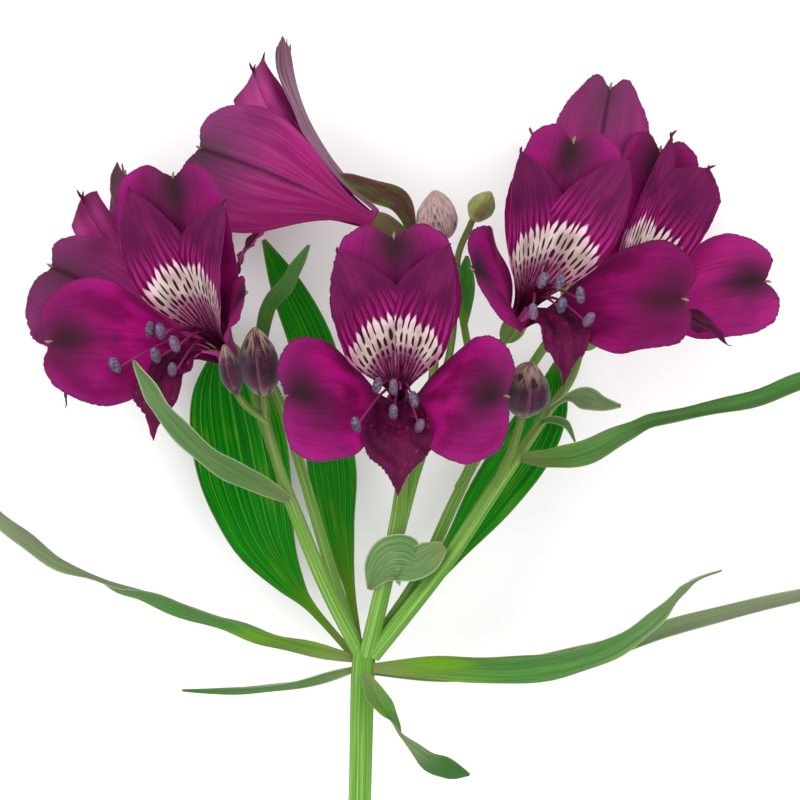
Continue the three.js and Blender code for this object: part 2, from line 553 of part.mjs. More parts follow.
// ---------------------------------------------------------------- assembly
const plant = new THREE.Group();
plant.name = "plant";
function piece(name, solid, look) {
  const mesh = new THREE.Mesh(geometryOf(solid), new THREE.MeshStandardMaterial({ ...look, metalness: 0 }));
  mesh.name = name;
  plant.add(mesh);
}

function stemSolid(extra, sides) {
  const parts = [stalk(MAIN_STEM, sides + 2, 2, extra)];
  for (const spec of Object.values(BLOOMS)) {
    const base = vec(spec.base);
    const frame = directions(spec.axis, spec.up);
    const neck = base.clone().addScaledVector(frame.a, -GAP - OVARY.length);
    const under = neck.clone().addScaledVector(frame.a, -2.5);
    const inside = neck.clone().addScaledVector(frame.a, 1);
    const end = [under, inside].map((p) => [...p.toArray(), PEDICEL_RADIUS]);
    parts.push(stalk([...spec.ray, ...end], sides, 1, extra));
    if (extra === 0) parts.push(ovary(base, frame, OVARY.ribs));
  }
  for (const rows of TWIGS) parts.push(stalk(rows, sides - 1, 1, extra));
  return joined(parts);
}

const stem = stemSolid(0, 5);
const clearance = stemSolid(GAP, 5);
piece("stem", stem, GREEN);

for (const [name, spec] of Object.entries(LEAVES)) {
  const grid = leafGrid(spec.rows, spec.steps, spec.columns, spec.fold, spec.wave);
  piece(name, largest(blade(grid, BLADE).subtract(clearance)), LEAF_GREEN);
}

for (const [name, spec] of Object.entries(BUDS)) {
  const whole = bud(spec.base, spec.axis, spec.length, spec.radius, 9);
  piece(name, largest(whole.subtract(clearance)), BUD_PURPLE);
}

for (const [name, spec] of Object.entries(BLOOMS)) {
  const base = vec(spec.base);
  const frame = directions(spec.axis, spec.up);
  const tepal = (part, below, above, columns) => {
    const shape = { ...KINDS[part], ...spec[part] };
    return blade(tepalGrid(base, frame, shape, below, above, columns), BLADE);
  };
  const outer = ["upper", "outer_left", "outer_right"].map((part) => tepal(part, 3, 3, spec.columns ?? 6));
  const inner = ["inner_left", "inner_right"].map((part) => tepal(part, 3, 2, 4));
  const outerCollar = collar(base, frame, 2.2, 3.3, -0.05, 0.5, 9);
  const innerCollar = collar(base, frame, 0, 1.85, -0.05, 0.5, 8);
  piece("bloom_" + name + "_outer", joined([outerCollar, ...outer]), MAGENTA);
  piece("bloom_" + name + "_inner", joined([innerCollar, ...inner, tepal("lower", 3, 2, 4)]), STRIPED);
  piece("bloom_" + name + "_stamens", stamens(base, frame, spec.droop ?? 1), SLATE);
}

// The middle of the plant's underside goes to the origin.
const box = new THREE.Box3().setFromObject(plant);
plant.position.set(-(box.min.x + box.max.x) / 2, -(box.min.y + box.max.y) / 2, -box.min.z);
const group = new THREE.Group();
group.add(plant);

export default group;
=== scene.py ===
"""A cut alstroemeria stem lying on a pale surface, seen from straight above.

Lengths are in millimetres in the plant's own frame, where the middle bloom springs from near x = y = 0,
+Y runs from the cut end to the blooms and +Z is up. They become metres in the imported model's frame where a
mesh is made.
"""
import math

import bpy
import numpy as np
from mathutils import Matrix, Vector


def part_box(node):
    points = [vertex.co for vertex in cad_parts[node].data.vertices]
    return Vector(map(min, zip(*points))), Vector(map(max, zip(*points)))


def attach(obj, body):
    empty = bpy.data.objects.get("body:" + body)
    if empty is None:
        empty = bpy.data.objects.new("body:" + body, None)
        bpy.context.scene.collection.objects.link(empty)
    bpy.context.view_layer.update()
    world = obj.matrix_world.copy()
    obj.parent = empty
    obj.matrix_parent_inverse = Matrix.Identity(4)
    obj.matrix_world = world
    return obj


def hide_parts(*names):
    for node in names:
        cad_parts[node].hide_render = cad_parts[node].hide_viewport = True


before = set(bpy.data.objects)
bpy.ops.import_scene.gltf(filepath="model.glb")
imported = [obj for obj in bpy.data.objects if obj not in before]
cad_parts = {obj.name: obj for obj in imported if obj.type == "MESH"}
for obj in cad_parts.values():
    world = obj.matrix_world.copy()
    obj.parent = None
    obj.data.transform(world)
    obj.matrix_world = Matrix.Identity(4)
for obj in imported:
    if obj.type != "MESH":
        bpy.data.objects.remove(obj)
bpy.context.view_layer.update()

MM = 0.001

# ---- sizes
PETAL = 0.42  # thickness of a tepal in its middle
LEAF = 0.5  # thickness of a leaf in its middle
RIM = 0.16  # thickness of either at its margin
SWELLS, CREASES, FURROW = 0.35, 0.3, 0.9  # how high and deep a tepal's relief goes
GAP = 0.35  # between an ovary and the cups that its tepals grow from
OUTER_CUP, INNER_CUP = 2.9, 1.7  # radii of those cups
CUP_PROFILE = [(-0.3, 0.9), (0.3, 1), (1.2, 0.75)]  # distance along, share of the radius
HORN_PROFILE = [(-0.6, 0.15), (0, 0.34), (0.4, 0.34), (0.75, 0.24), (1, 0.05)]  # share of length, radius
PEDICEL_RADIUS = 1.05
OVARY_LENGTH = 9
OVARY_RIBS = 6
OVARY_PROFILE = [(0, 1.2), (0.2, 2.1), (0.7, 2.9), (1, 2.4)]  # share of length, radius
STEM_RIBS, RAY_RIBS = 7, 5

# How finely each blade is divided. A tepal has rows below and above its widest line.
RIB_STEPS = 96
OUTER_MESH = dict(below=20, above=24, columns=44, teeth=0.22)
UPPER_MESH = dict(below=24, above=18, columns=30, teeth=0.15)
LOWER_MESH = dict(UPPER_MESH, teeth=0.3, crinkle=0.7, extra=1)
LONG_LEAF_ROWS, SHORT_LEAF_ROWS, LEAF_COLUMNS = 44, 28, 14

# Each tepal: its turn round the bloom's axis, its length, its half-width at the claw and at its widest,
# and where along it that is. stalk, swell, corner, skew, lobe, notch, point and sharp shape its outline. It
# leaves its ring at the radius root and leans out from the axis by the angles first to last. cup, fold,
# wave and waves curve it across.
OUTER = dict(
    turn=90, length=49.5, claw=2.2, half=16, widest=0.62, stalk=0, swell=0.9, corner=0.78, skew=0, lobe=0,
    notch=4.2, point=0, sharp=1.5, root=2.6, first=14, last=65, bend=1.3, cup=0.022, fold=0.03, wave=0.7,
    waves=2.3,
)
LATERAL = dict(
    OUTER, length=46, half=16.3, widest=0.7, stalk=0.2, swell=0.75, corner=0.72, lobe=5, notch=2.6,
    first=16, last=60, bend=1.1, cup=0.014, fold=0.01,
)
UPPER_INNER = dict(
    length=46, claw=1.3, half=8.7, widest=0.6, stalk=0, swell=1.25, corner=0.68, skew=0, lobe=0, notch=0,
    point=3, sharp=2.4, root=1.3, first=10, last=58, bend=1.4, cup=0.05, fold=0, wave=0.4, waves=2,
)
KINDS = dict(
    upper=OUTER, outer_left=dict(LATERAL, turn=202, skew=0.14),
    outer_right=dict(LATERAL, turn=-22, skew=-0.14), inner_left=dict(UPPER_INNER, turn=122),
    inner_right=dict(UPPER_INNER, turn=60),
    lower=dict(UPPER_INNER, turn=-90, length=37.5, half=8, widest=0.84, swell=0.9, corner=0.74,
               point=6.5, first=8, last=100, bend=1.5, cup=0.06, wave=1, waves=3.4),
)

# Where the six anthers sit: distance along the bloom's axis, to its right and above it.
ANTHERS = [
    (26, 3.7, -9.2), (26, -1, -6.2), (25, -4.7, -5.4),
    (28, -9.5, -16), (25.4, -1, -12), (26, 5, -15.6),
]
ANTHER_LENGTH = 4.2
ANTHER_RADIUS = 1.2
FILAMENT_RADIUS = 0.34

# Each bloom: where its tepals spring from the ovary, the way it looks, its upper side, what sets single
# tepals apart, how far its stamens droop, how long its horns are, how flushed its ovary is and the path of
# its stalk, (x, y, z, radius).
BLOOMS = dict(
    left=dict(
        base=(-40.5, 10.5, 46), axis=(-0.45, 0.4, 0.8), up=(0.26, 0.85, -0.38),
        upper=dict(turn=94, length=51.5), outer_left=dict(turn=207, half=18, length=47, lobe=2, age_and_painted_light=-0.14),
        outer_right=dict(turn=10, half=7, length=37, last=48, lobe=0, age_and_painted_light=-0.1), inner_left=dict(turn=115),
        inner_right=dict(turn=54), lower=dict(turn=-86, length=39, half=6.4),
        ray=[(-9.2, -60.4, 35, 1.9), (-17.7, -43.7, 40, 1.8), (-25.7, -24, 43, 1.6),
             (-29.5, -13.5, 41, 1.2), (-33.2, -2.5, 39, 1.1)],
    ),
    left_back=dict(
        base=(-45.9, 14.4, 24.96), axis=(-0.87, 0.48, -0.05), up=(0.48, 0.87, 0.05),
        upper=dict(length=48, half=13, last=58, age_and_painted_light=-1.5),
        outer_right=dict(length=46, half=15, turn=-4, skew=-0.26, lobe=0, last=36, wave=1.3, waves=4,
                         age_and_painted_light=-0.15),
        outer_left=dict(turn=210, half=11, last=44), lower=dict(half=5), droop=0.5,
        inner_right=dict(turn=46, last=50, length=46, half=8, corner=0.88, point=1, cup=0.03), prongs=2.6,
        ray=[(-10.2, -59.8, 33, 1.5), (-17.1, -38, 34, 1.4), (-23.1, -17.8, 31, 1.3),
             (-27.5, -3.5, 27, 1.2), (-31, 4, 26, 1.1)],
    ),
    top_left=dict(
        base=(-6.5, 43, 31), axis=(-0.87, 0.48, -0.05), up=(0.48, 0.87, 0.05),
        upper=dict(length=49, half=13, last=60, age_and_painted_light=-1.5),
        outer_right=dict(length=55.8, half=16, turn=-7, last=62, widest=0.65, stalk=0.06, swell=0.8,
                         lobe=-1.8),
        outer_left=dict(turn=210, half=11, last=58), lower=dict(half=3.5, length=36), droop=0.6, flush=1.1,
        inner_left=dict(last=50, half=7.5), prongs=2.6,
        inner_right=dict(turn=44.5, last=57, length=47, half=9.3, corner=0.94, point=1, cup=0.03),
        ray=[(-0.2, -31, 42, 1.4), (3.1, -18.9, 36, 1.3), (6.5, -7, 30, 1.2), (8.4, 14, 26, 1.1),
             (8.4, 31, 27, 1.1)],
    ),
    centre=dict(
        base=(-0.5, -0.5, 48), axis=(0, 0.34, 0.94), up=(0, 0.94, -0.34), upper=dict(turn=92, half=15.4),
        outer_left=dict(length=43.6, half=16.6, skew=0.17, lobe=8, notch=1.2),
        outer_right=dict(length=42.2, half=16.6, skew=-0.17, lobe=8, notch=1.2), inner_left=dict(half=9.6),
        inner_right=dict(turn=64),
        ray=[(-7.8, -60.4, 36, 2.1), (-4.2, -44.8, 41, 2), (-0.9, -30.1, 43, 1.9), (0.5, -16.5, 40, 1.4)],
    ),
    right=dict(
        base=(28, 19, 46), axis=(0.33, 0.49, 0.81), up=(-0.1, 0.87, -0.48), upper=dict(turn=83, half=13.6),
        outer_left=dict(turn=187, half=13.6, length=33, last=62, skew=0, lobe=0, widest=0.6, stalk=0.08),
        outer_right=dict(half=18, turn=-24, length=47, last=63, lobe=4.5, age_and_painted_light=-0.4),
        inner_left=dict(turn=117, length=43), inner_right=dict(turn=55), lower=dict(half=6.4, turn=-92),
        ray=[(-7.4, -59.8, 33, 1.7), (4, -42.9, 35, 1.5), (11.6, -26.8, 35, 1.4), (18, -12.3, 33, 1.2),
             (22, 4, 33, 1.1)],
    ),
    right_back=dict(
        base=(48, 18, 20), axis=(0.38, 0.55, 0.74), up=(-0.1, 0.7, -0.6),
        upper=dict(half=11, turn=84, last=70, age_and_painted_light=-0.2),
        outer_left=dict(turn=208, last=44, half=8, length=34, lobe=0),
        outer_right=dict(turn=-9.5, half=16.5, lobe=4, cup=0.006, age_and_painted_light=0.8),
        inner_left=dict(turn=84, last=60, half=4, length=48),
        inner_right=dict(turn=59, half=8.6, corner=0.8, point=1.5), prongs=1.8,
        lower=dict(length=45, half=4, turn=-66, first=12, last=62, bend=1.1), droop=0.75,
        ray=[(-6.6, -60.4, 36, 2), (10.1, -39.1, 42, 1.9), (21.9, -21.2, 44, 1.8),
             (28.2, -12.2, 43, 1.5), (35, -3, 31, 1.2), (41, 5, 16, 1.1)],
    ),
    top_right=dict(
        base=(42, 31, 27), axis=(0.2, 0.9, -0.34), up=(0, 0.34, 0.9),
        upper=dict(length=48, last=42, half=11.5, corner=0.64, age_and_painted_light=-0.25),
        outer_left=dict(turn=210, last=34, half=8, length=37, lobe=0),
        outer_right=dict(turn=-30, last=34, half=9, length=42, lobe=0),
        inner_left=dict(turn=128, last=26, length=38, half=6),
        inner_right=dict(turn=52, last=26, length=38, half=6),
        lower=dict(last=30, length=28, half=6, point=4), droop=0.35,
        ray=[(14, -21, 34.5, 1.3), (21, -9, 30, 1.2), (28, 3, 29, 1.1), (34.5, 13, 31, 1.1)],
    ),
)

MAIN_STEM = [
    (-11.5, -184, 2.24, 2.6), (-11.3, -160, 5, 2.7), (-10.4, -125, 15, 2.7), (-9.4, -90, 26.5, 2.7),
    (-8.8, -66, 33.5, 2.8), (-8.2, -59, 35.5, 2.6),
]
# The thin stalks of the buds.
TWIGS = [
    [(-25.7, -24, 43, 1.3), (-29, -13, 50, 1.1), (-31, -5, 56, 1), (-31.4, 0.4, 59.5, 1)],
    [(-31, -5, 56, 1), (-35.4, -1.5, 60.5, 0.9), (-37.2, 0.8, 61.8, 0.9)],
    [(21.9, -21.2, 44, 1.3), (26, -12, 50, 1.1), (28.2, -4.5, 54, 1)],
    [(6.5, -7, 30, 1.1), (12, 12, 30, 0.9), (13, 30, 34, 0.8), (10.5, 37, 37, 0.8)],
    [(20, -4, 33, 1), (15.5, 16, 33, 0.9), (13.5, 32, 37, 0.8), (16.5, 41, 39, 0.8)],
]

# Each leaf: rows of (x, y, z, half-width, roll in degrees), how far its midrib sinks as a share of its
# half-width, how far its margins sway, and how grey it is, from 0 for fresh green, or below 0 for dried
# brown: one number, or two for its foot and its tip.
LEAVES = dict(
    leaf_far_left=dict(fold=0.35, wave=0.4, grey=(0.15, 0.95), rows=[
        (-11, -61.3, 33.6, 1, 10), (-26.8, -57.3, 36, 3, 50), (-41.3, -52.4, 40, 4, 62),
        (-58.9, -46.2, 42, 4, 66), (-70.8, -42.5, 40, 3.6, 90), (-84.2, -36.3, 34, 3.4, 118),
        (-95.5, -27.9, 26, 2.6, 125), (-101, -23.5, 22, 0.5, 125),
    ]),
    leaf_short_left=dict(fold=0.3, wave=0, grey=(0.8, 0.2), rows=[
        (-11.2, -64, 32.8, 0.8, 20), (-24.5, -67.3, 32, 2.6, 66), (-39.3, -68.9, 29, 2.6, 68),
        (-52.1, -69.3, 26, 0.5, 60),
    ]),
    leaf_broad_left=dict(fold=0.16, wave=0.5, grey=0, rows=[
        (-10.4, -61.5, 31, 0.9, 0), (-21, -50, 23, 1.2, 0), (-26.5, -43.5, 20, 3.6, -4),
        (-32.5, -34, 17, 7.6, -6), (-36.5, -22, 14, 10.6, -6), (-39.3, -9, 12, 11.4, -6),
        (-41.5, 4, 11, 8.6, -4), (-43, 14, 12.5, 0.8, 0),
    ]),
    leaf_middle=dict(fold=0.3, wave=0.4, grey=0, rows=[
        (-9.4, -60, 31.6, 0.8, 0), (-12, -45.5, 23, 1.3, 0), (-14.7, -31.2, 19, 3.9, 6),
        (-16.1, -18, 17, 5.8, 6), (-18.1, -3, 16, 5.8, 4), (-21.2, 13, 16, 5.4, 0),
        (-27.6, 27.6, 17, 3.8, -6), (-32.8, 38.5, 19, 0.5, -10),
    ]),
    leaf_right_back=dict(fold=0.25, wave=0.4, grey=0, rows=[
        (-6.6, -61, 31.6, 0.8, 0), (4.8, -46.5, 23, 1.7, 0), (12.5, -36.5, 20, 3, 0),
        (21.6, -24, 17, 5.9, 6), (30.1, -12, 15, 6.8, 8), (35.7, -1.2, 15, 5, 6), (37.5, 9, 17, 0.6, 0),
    ]),
    leaf_right_front=dict(fold=0.35, wave=0.3, grey=(0.1, 1), rows=[
        (-6.4, -63.4, 36.4, 1.1, -10), (10.6, -62.8, 41, 3.6, -36), (28.2, -62.9, 44, 4.4, -40),
        (44.7, -59.7, 45, 4.4, -48), (56.4, -53.6, 45, 3.6, -50), (63.6, -47, 44, 2.8, -60),
        (69, -42.5, 42, 1.8, -70), (76, -40.1, 40, 0.5, -70),
    ]),
    leaf_far_right=dict(fold=0.35, wave=0.2, grey=(0.4, 1.1), rows=[
        (-6.6, -64.4, 32, 0.9, 0), (11.9, -65.3, 28, 2.4, 30), (31, -64, 26, 3, 40),
        (50.2, -59.7, 25, 3.2, 50), (70.9, -53, 24, 3, 52), (95.9, -47.2, 20, 2.2, 50),
        (106.8, -43.9, 18, 0.5, 50),
    ]),
    leaf_upper_right=dict(fold=0.3, wave=0.3, grey=(0.5, 0.35), rows=[
        (28.2, -13.4, 44.7, 1, 0), (35.2, -13.7, 48, 2.4, 20), (43.9, -12.2, 49, 3, 10),
        (53.5, -7.5, 49, 2.6, 40), (62.5, -4.4, 47, 2.8, 60), (80.3, -0.9, 41, 3, 52),
        (94.7, 4, 35, 2.8, 44), (107.6, 10, 29, 0.5, 40),
    ]),
    leaf_hanging=dict(fold=0.3, wave=0.2, grey=(0.6, 0), rows=[
        (-8.4, -65, 36.6, 1, 0), (-5.2, -70.6, 42, 2.8, 30), (-2.1, -74.8, 44, 2.4, 60),
        (0.5, -79.2, 45, 2.4, 100), (5.9, -84.7, 44, 3.4, 130), (11.8, -87.4, 42, 2.8, 150),
        (16.4, -88.5, 40, 0.4, 150),
    ]),
    bract_left=dict(fold=0.5, wave=0.3, grey=0.65, rows=[
        (-26, -23.4, 44.9, 1, 0), (-35, -18.2, 56, 2.8, 20), (-43.3, -12.8, 70, 3.2, 36),
        (-52, -3.6, 85, 3.2, 44), (-56.5, 3.4, 90, 2.4, 44), (-60, 8.9, 93, 0.4, 40),
    ]),
    bract_centre=dict(fold=0.3, wave=0.3, grey=0.7, rows=[
        (10.3, -34.2, 47, 1.2, 0), (7, -36.4, 47.6, 3.5, 0), (3.5, -38.3, 47.4, 4, 0),
        (0.7, -37.4, 47.3, 6, 4), (-2.3, -37.8, 46.6, 5.8, 8), (-4.9, -40, 45.4, 4, 14),
        (-7.2, -44.6, 43.8, 0.6, 14),
    ]),
    bract_bud_left=dict(fold=0.4, wave=0.2, grey=0.4, rows=[
        (-31.6, -5.4, 54.6, 0.8, 0), (-32.6, 8, 50.5, 1.1, 10), (-31, 20.6, 48.5, 2.1, 30),
        (-26.2, 26.9, 50, 2.6, 40), (-23.4, 32.3, 50, 1.7, 40), (-21.3, 36.3, 48, 0.4, 40),
    ]),
    bract_right=dict(fold=0.3, wave=0.2, grey=0.8, rows=[
        (35.2, -2.4, 32.6, 0.6, 0), (39.6, 0.6, 37, 0.9, 0), (43.7, 0.4, 39, 2.8, 10),
        (47.9, -0.9, 39.5, 1.8, 10), (52.2, -1.4, 38, 0.4, 0),
    ]),
    bract_curl=dict(fold=0.3, wave=0, grey=0.6, rows=[
        (33.2, -5.2, 35.2, 0.6, 0), (36, -4.6, 38.8, 0.9, 10), (39.1, -5.9, 41, 1.2, 40),
        (41.2, -9.9, 41.5, 0.4, 60),
    ]),
    bract_top_left=dict(fold=0.4, wave=0.2, grey=-0.8, rows=[
        (7, 30.8, 28.6, 0.7, 0), (3.4, 36, 35, 1, 0), (2.2, 42, 41, 1.6, 0), (-0.5, 47.1, 44, 2.8, 10),
        (-6.6, 49.4, 45.5, 2.7, 20), (-11.3, 51.7, 45.5, 1.6, 20), (-14.1, 53, 45, 0.4, 20),
    ]),
    bract_bud_right=dict(fold=0.4, wave=0, grey=0.2, rows=[
        (15.2, 17.4, 34.2, 0.7, 0), (15.4, 27.1, 41, 2.4, 10), (15.8, 34, 41, 0.4, 10),
    ]),
)

BUDS = dict(
    bud_left_large=dict(base=(-31.5, 1.6, 60.1), axis=(-0.1, 0.8, 0.6), length=18.5, radius=4.6),
    bud_left_small=dict(base=(-37.8, 1.6, 62.4), axis=(-0.2, 0.82, 0.55), length=13.5, radius=2.5),
    bud_right=dict(base=(28.5, -3, 54.8), axis=(0.1, 0.75, 0.65), length=15, radius=5.3),
    bud_top=dict(base=(10, 38, 37.9), axis=(-0.15, 0.9, 0.3), length=12, radius=4.8, downy=1),
    bud_top_green=dict(base=(17.3, 42.5, 39.3), axis=(0.5, 0.8, 0.3), length=8, radius=3),
)
BUD_PROFILE = [(0, 0.3), (0.1, 0.62), (0.35, 1), (0.62, 0.93), (0.86, 0.55), (1, 0.16)]
BUD_KEELS = 3
KEEL_TURN = 0.6


# ---- geometry helpers
def unit(vectors):
    vectors = np.asarray(vectors, float)
    return vectors / np.maximum(np.linalg.norm(vectors, axis=-1, keepdims=True), 1e-9)


def ease(t):
    t = np.clip(t, 0, 1)
    return t * t * (3 - 2 * t)


def mix(first, second, share):
    return first + (second - first) * share


def stack(*values):
    """Numbers and grids of numbers, side by side as one grid of vectors."""
    return np.stack(np.broadcast_arrays(*values), -1)


def directions(axis, up):
    """Along the axis, up from it, and to its right seen from in front."""
    along = unit(axis)
    up = np.asarray(up, float)
    up = unit(up - (up @ along) * along)
    return along, up, np.cross(up, along)


def through(rows, t):
    """Values of a list of equal rows at each t from 0 to 1, smoothly through every row."""
    rows = np.asarray(rows, float)
    last = len(rows) - 1
    t = np.atleast_1d(t) * last
    low = np.clip(np.floor(t).astype(int), 0, last - 1)
    f = (t - low)[:, None]
    before, start, end, after = (rows[np.clip(low + k, 0, last)] for k in (-1, 0, 1, 2))
    leave, arrive = (end - before) / 2, (after - start) / 2
    return (
        start + leave * f + (3 * (end - start) - 2 * leave - arrive) * f**2
        + (2 * (start - end) + leave + arrive) * f**3
    )


def ripple(seed, u, w, waves):
    """An irregular surface between about -1 and 1 over two coordinates."""
    draw = np.random.default_rng(seed)
    total = np.zeros(np.broadcast(u, w).shape)
    for _ in range(5):
        a, b = draw.normal(size=2) * waves
        total += np.sin(a * u + b * w + draw.uniform(0, 2 * math.pi))
    return total / 3


def add_object(name, data):
    made = bpy.data.objects.new(name, data)
    bpy.context.collection.objects.link(made)
    return made


def round_turns(sides):
    return np.linspace(0, 2 * math.pi, sides, endpoint=False)


class Shell:
    """The points and faces of one piece, with two vectors a point that its finish reads."""

    def __init__(self):
        self.points, self.faces, self.place, self.kind = [], [], [], []
        self.count = 0

    def add(self, points, faces, place, kind):
        """place and kind broadcast over the points."""
        self.points.append(points.reshape(-1, 3))
        self.faces += (np.asarray(faces) + self.count).tolist()
        for kept, given in ((self.place, place), (self.kind, kind)):
            kept.append(np.broadcast_to(np.asarray(given, float), points.shape).reshape(-1, 3))
        self.count += points.size // 3

    def make(self, name, finish):
        points = (np.concatenate(self.points) + shift) * MM
        mesh = bpy.data.meshes.new(name)
        mesh.from_pydata(points.tolist(), [], self.faces)
        mesh.polygons.foreach_set("use_smooth", [True] * len(mesh.polygons))
        for label, values in (("place", self.place), ("kind", self.kind)):
            kept = mesh.attributes.new(label, "FLOAT_VECTOR", "POINT")
            kept.data.foreach_set("vector", np.concatenate(values).astype(np.float32).ravel())
        mesh.materials.append(finish)
        piece = add_object(name + "_fine", mesh)
        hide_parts(name)
        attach(piece, "root")


def grid_faces(rows, columns, around=False, flipped=False):
    at = np.arange(rows * columns).reshape(rows, columns)
    if around:
        at = np.column_stack([at, at[:, 0]])
    faces = stack(at[:-1, :-1], at[1:, :-1], at[1:, 1:], at[:-1, 1:]).reshape(-1, 4)
    return faces[:, ::-1] if flipped else faces


def blade(shell, grid, place, thickness, seed, extra):
    """A thin closed blade over a grid of points. Its finish reads place, which face a point is on (1 for
    the upper one, 2 for a horn), the seed and extra, which is one number or one for each point."""
    rows, columns = grid.shape[:2]
    normal = unit(np.cross(np.gradient(grid, axis=0), np.gradient(grid, axis=1)))
    half = mix(RIM, thickness, ease(place[..., 2] / 2.5))[..., None] / 2
    upper, under = grid + normal * half, grid - normal * half
    shell.add(upper, grid_faces(rows, columns), place, stack(1, seed, extra))
    shell.add(under, grid_faces(rows, columns, flipped=True), place, stack(0, seed, extra))
    at = np.arange(rows * columns).reshape(rows, columns)
    rim = np.concatenate([at[0, :-1], at[:-1, -1], at[-1, :0:-1], at[:0:-1, 0]])
    edge = np.stack([upper.reshape(-1, 3)[rim], under.reshape(-1, 3)[rim]], 1)
    edge_extra = np.broadcast_to(extra, (rows, columns)).ravel()[rim, None]
    first = np.arange(len(rim)) * 2
    following = (first + 2) % (2 * len(rim))
    faces = stack(first, following, following + 1, first + 1)
    shell.add(edge, faces, place.reshape(-1, 3)[rim, None], stack(0.5, seed, edge_extra))


def edge_distance(x, y):
    """How far each point of a flat grid is from the outline's sides and top."""
    spots = stack(x, y)
    outline = np.concatenate([spots[:, 0], spots[-1], spots[::-1, -1]])
    return np.sqrt(((spots.reshape(-1, 1, 2) - outline) ** 2).sum(-1)).min(1).reshape(x.shape)


def ring(centres, across, third, radii, turns):
    """Rings of points: a row for each centre, a column for each turn. across and third are one direction
    each, or one for each centre."""
    cos, sin = np.cos(turns)[None, :, None], np.sin(turns)[None, :, None]
    across, third = np.atleast_2d(across)[:, None], np.atleast_2d(third)[:, None]
    return centres[:, None] + radii[..., None] * (across * cos + third * sin)


def skin(shell, rings, place, kind):
    """A closed skin over rings of points."""
    rows, sides = rings.shape[:2]
    place, kind = np.broadcast_to(place, rings.shape), np.broadcast_to(kind, rings.shape)
    shell.add(rings, grid_faces(rows, sides, around=True, flipped=True), place, kind)
    for row, faces in ((0, range(sides)), (rows - 1, reversed(range(sides)))):
        end = slice(row, row + 1)
        shell.add(rings[end], [list(faces)], place[end], kind[end])


def tube(shell, rows, seed, sides, steps=8, ribs=0, relief=0, flush=(0, 0)):
    """A stalk through rows of (x, y, z, radius). Its finish reads which way round a point is, its
    distance along, its share of the length, and how flushed it is, from the first end to the last."""
    t = np.linspace(0, 1, (len(rows) - 1) * steps + 1)
    values = through(rows, t)
    path, radius = values[:, :3], values[:, 3]
    along = unit(np.gradient(path, axis=0))
    across = np.zeros_like(path)
    side = np.array([0.3, 0.2, 1])
    for i, way in enumerate(along):
        side = unit(side - (side @ way) * way)
        across[i] = side
    turns = round_turns(sides)
    radii = radius[:, None] * (1 + relief * np.cos(ribs * turns))[None]
    far = np.concatenate([[0], np.cumsum(np.linalg.norm(np.diff(path, axis=0), axis=1))])
    place = stack(np.cos(turns), np.sin(turns), far[:, None])
    kind = stack(t[:, None], seed, mix(*flush, t)[:, None])
    skin(shell, ring(path, across, np.cross(along, across), radii, turns), place, kind)


# ---- blooms
def stand(spec):
    """Where a bloom springs from and the directions it is built along."""
    return np.array(spec["base"], float), directions(spec["axis"], spec["up"])


def flat(tepal, below, above, columns):
    """The tepal's flat outline as a grid: a claw that widens, then half an ellipse above its widest
    line, notched or drawn to a point."""
    v = np.linspace(-1, 1, columns + 1)[None]
    rows = np.arange(below + above + 1)[:, None]
    s, t = np.minimum(1, rows / below), np.maximum(0, (rows - below) / above)
    widest = tepal["widest"] * tepal["length"]
    rest = tepal["length"] - widest
    corner = 1 - tepal["corner"]
    spread = ease((s - tepal["stalk"]) / (1 - tepal["stalk"])) ** tepal["swell"]
    half = mix(tepal["claw"], tepal["half"], spread)
    x = half * v * (1 + tepal["skew"] * v) * (1 - corner * t**2.3)
    notch = tepal["notch"] / rest * np.exp(-((v / 0.34) ** 2)) * t
    tip = tepal["point"] * t * t * (1 - np.abs(v)) ** tepal["sharp"]
    y = s * widest + rest * t * (1 - corner * np.abs(v) ** 2.3 - notch) + tip
    y = y + tepal["lobe"] * s * np.maximum(0, np.sign(tepal["skew"]) * v)
    return x, y, np.broadcast_to(v, x.shape)


def toothed(x, y, length, depth, seed):
    """Pushes the outline's upper margin in and out by fine uneven teeth."""
    draw = np.random.default_rng(seed)
    centre_y = 0.55 * length
    for rim in ((slice(None), 0), (slice(None), -1), (-1, slice(1, -1))):
        push = draw.uniform(-0.6, 1, x[rim].shape) * depth * ease((y[rim] / length - 0.45) / 0.2)
        away = unit(stack(x[rim], y[rim] - centre_y))
        x[rim] += away[:, 0] * push
        y[rim] += away[:, 1] * push


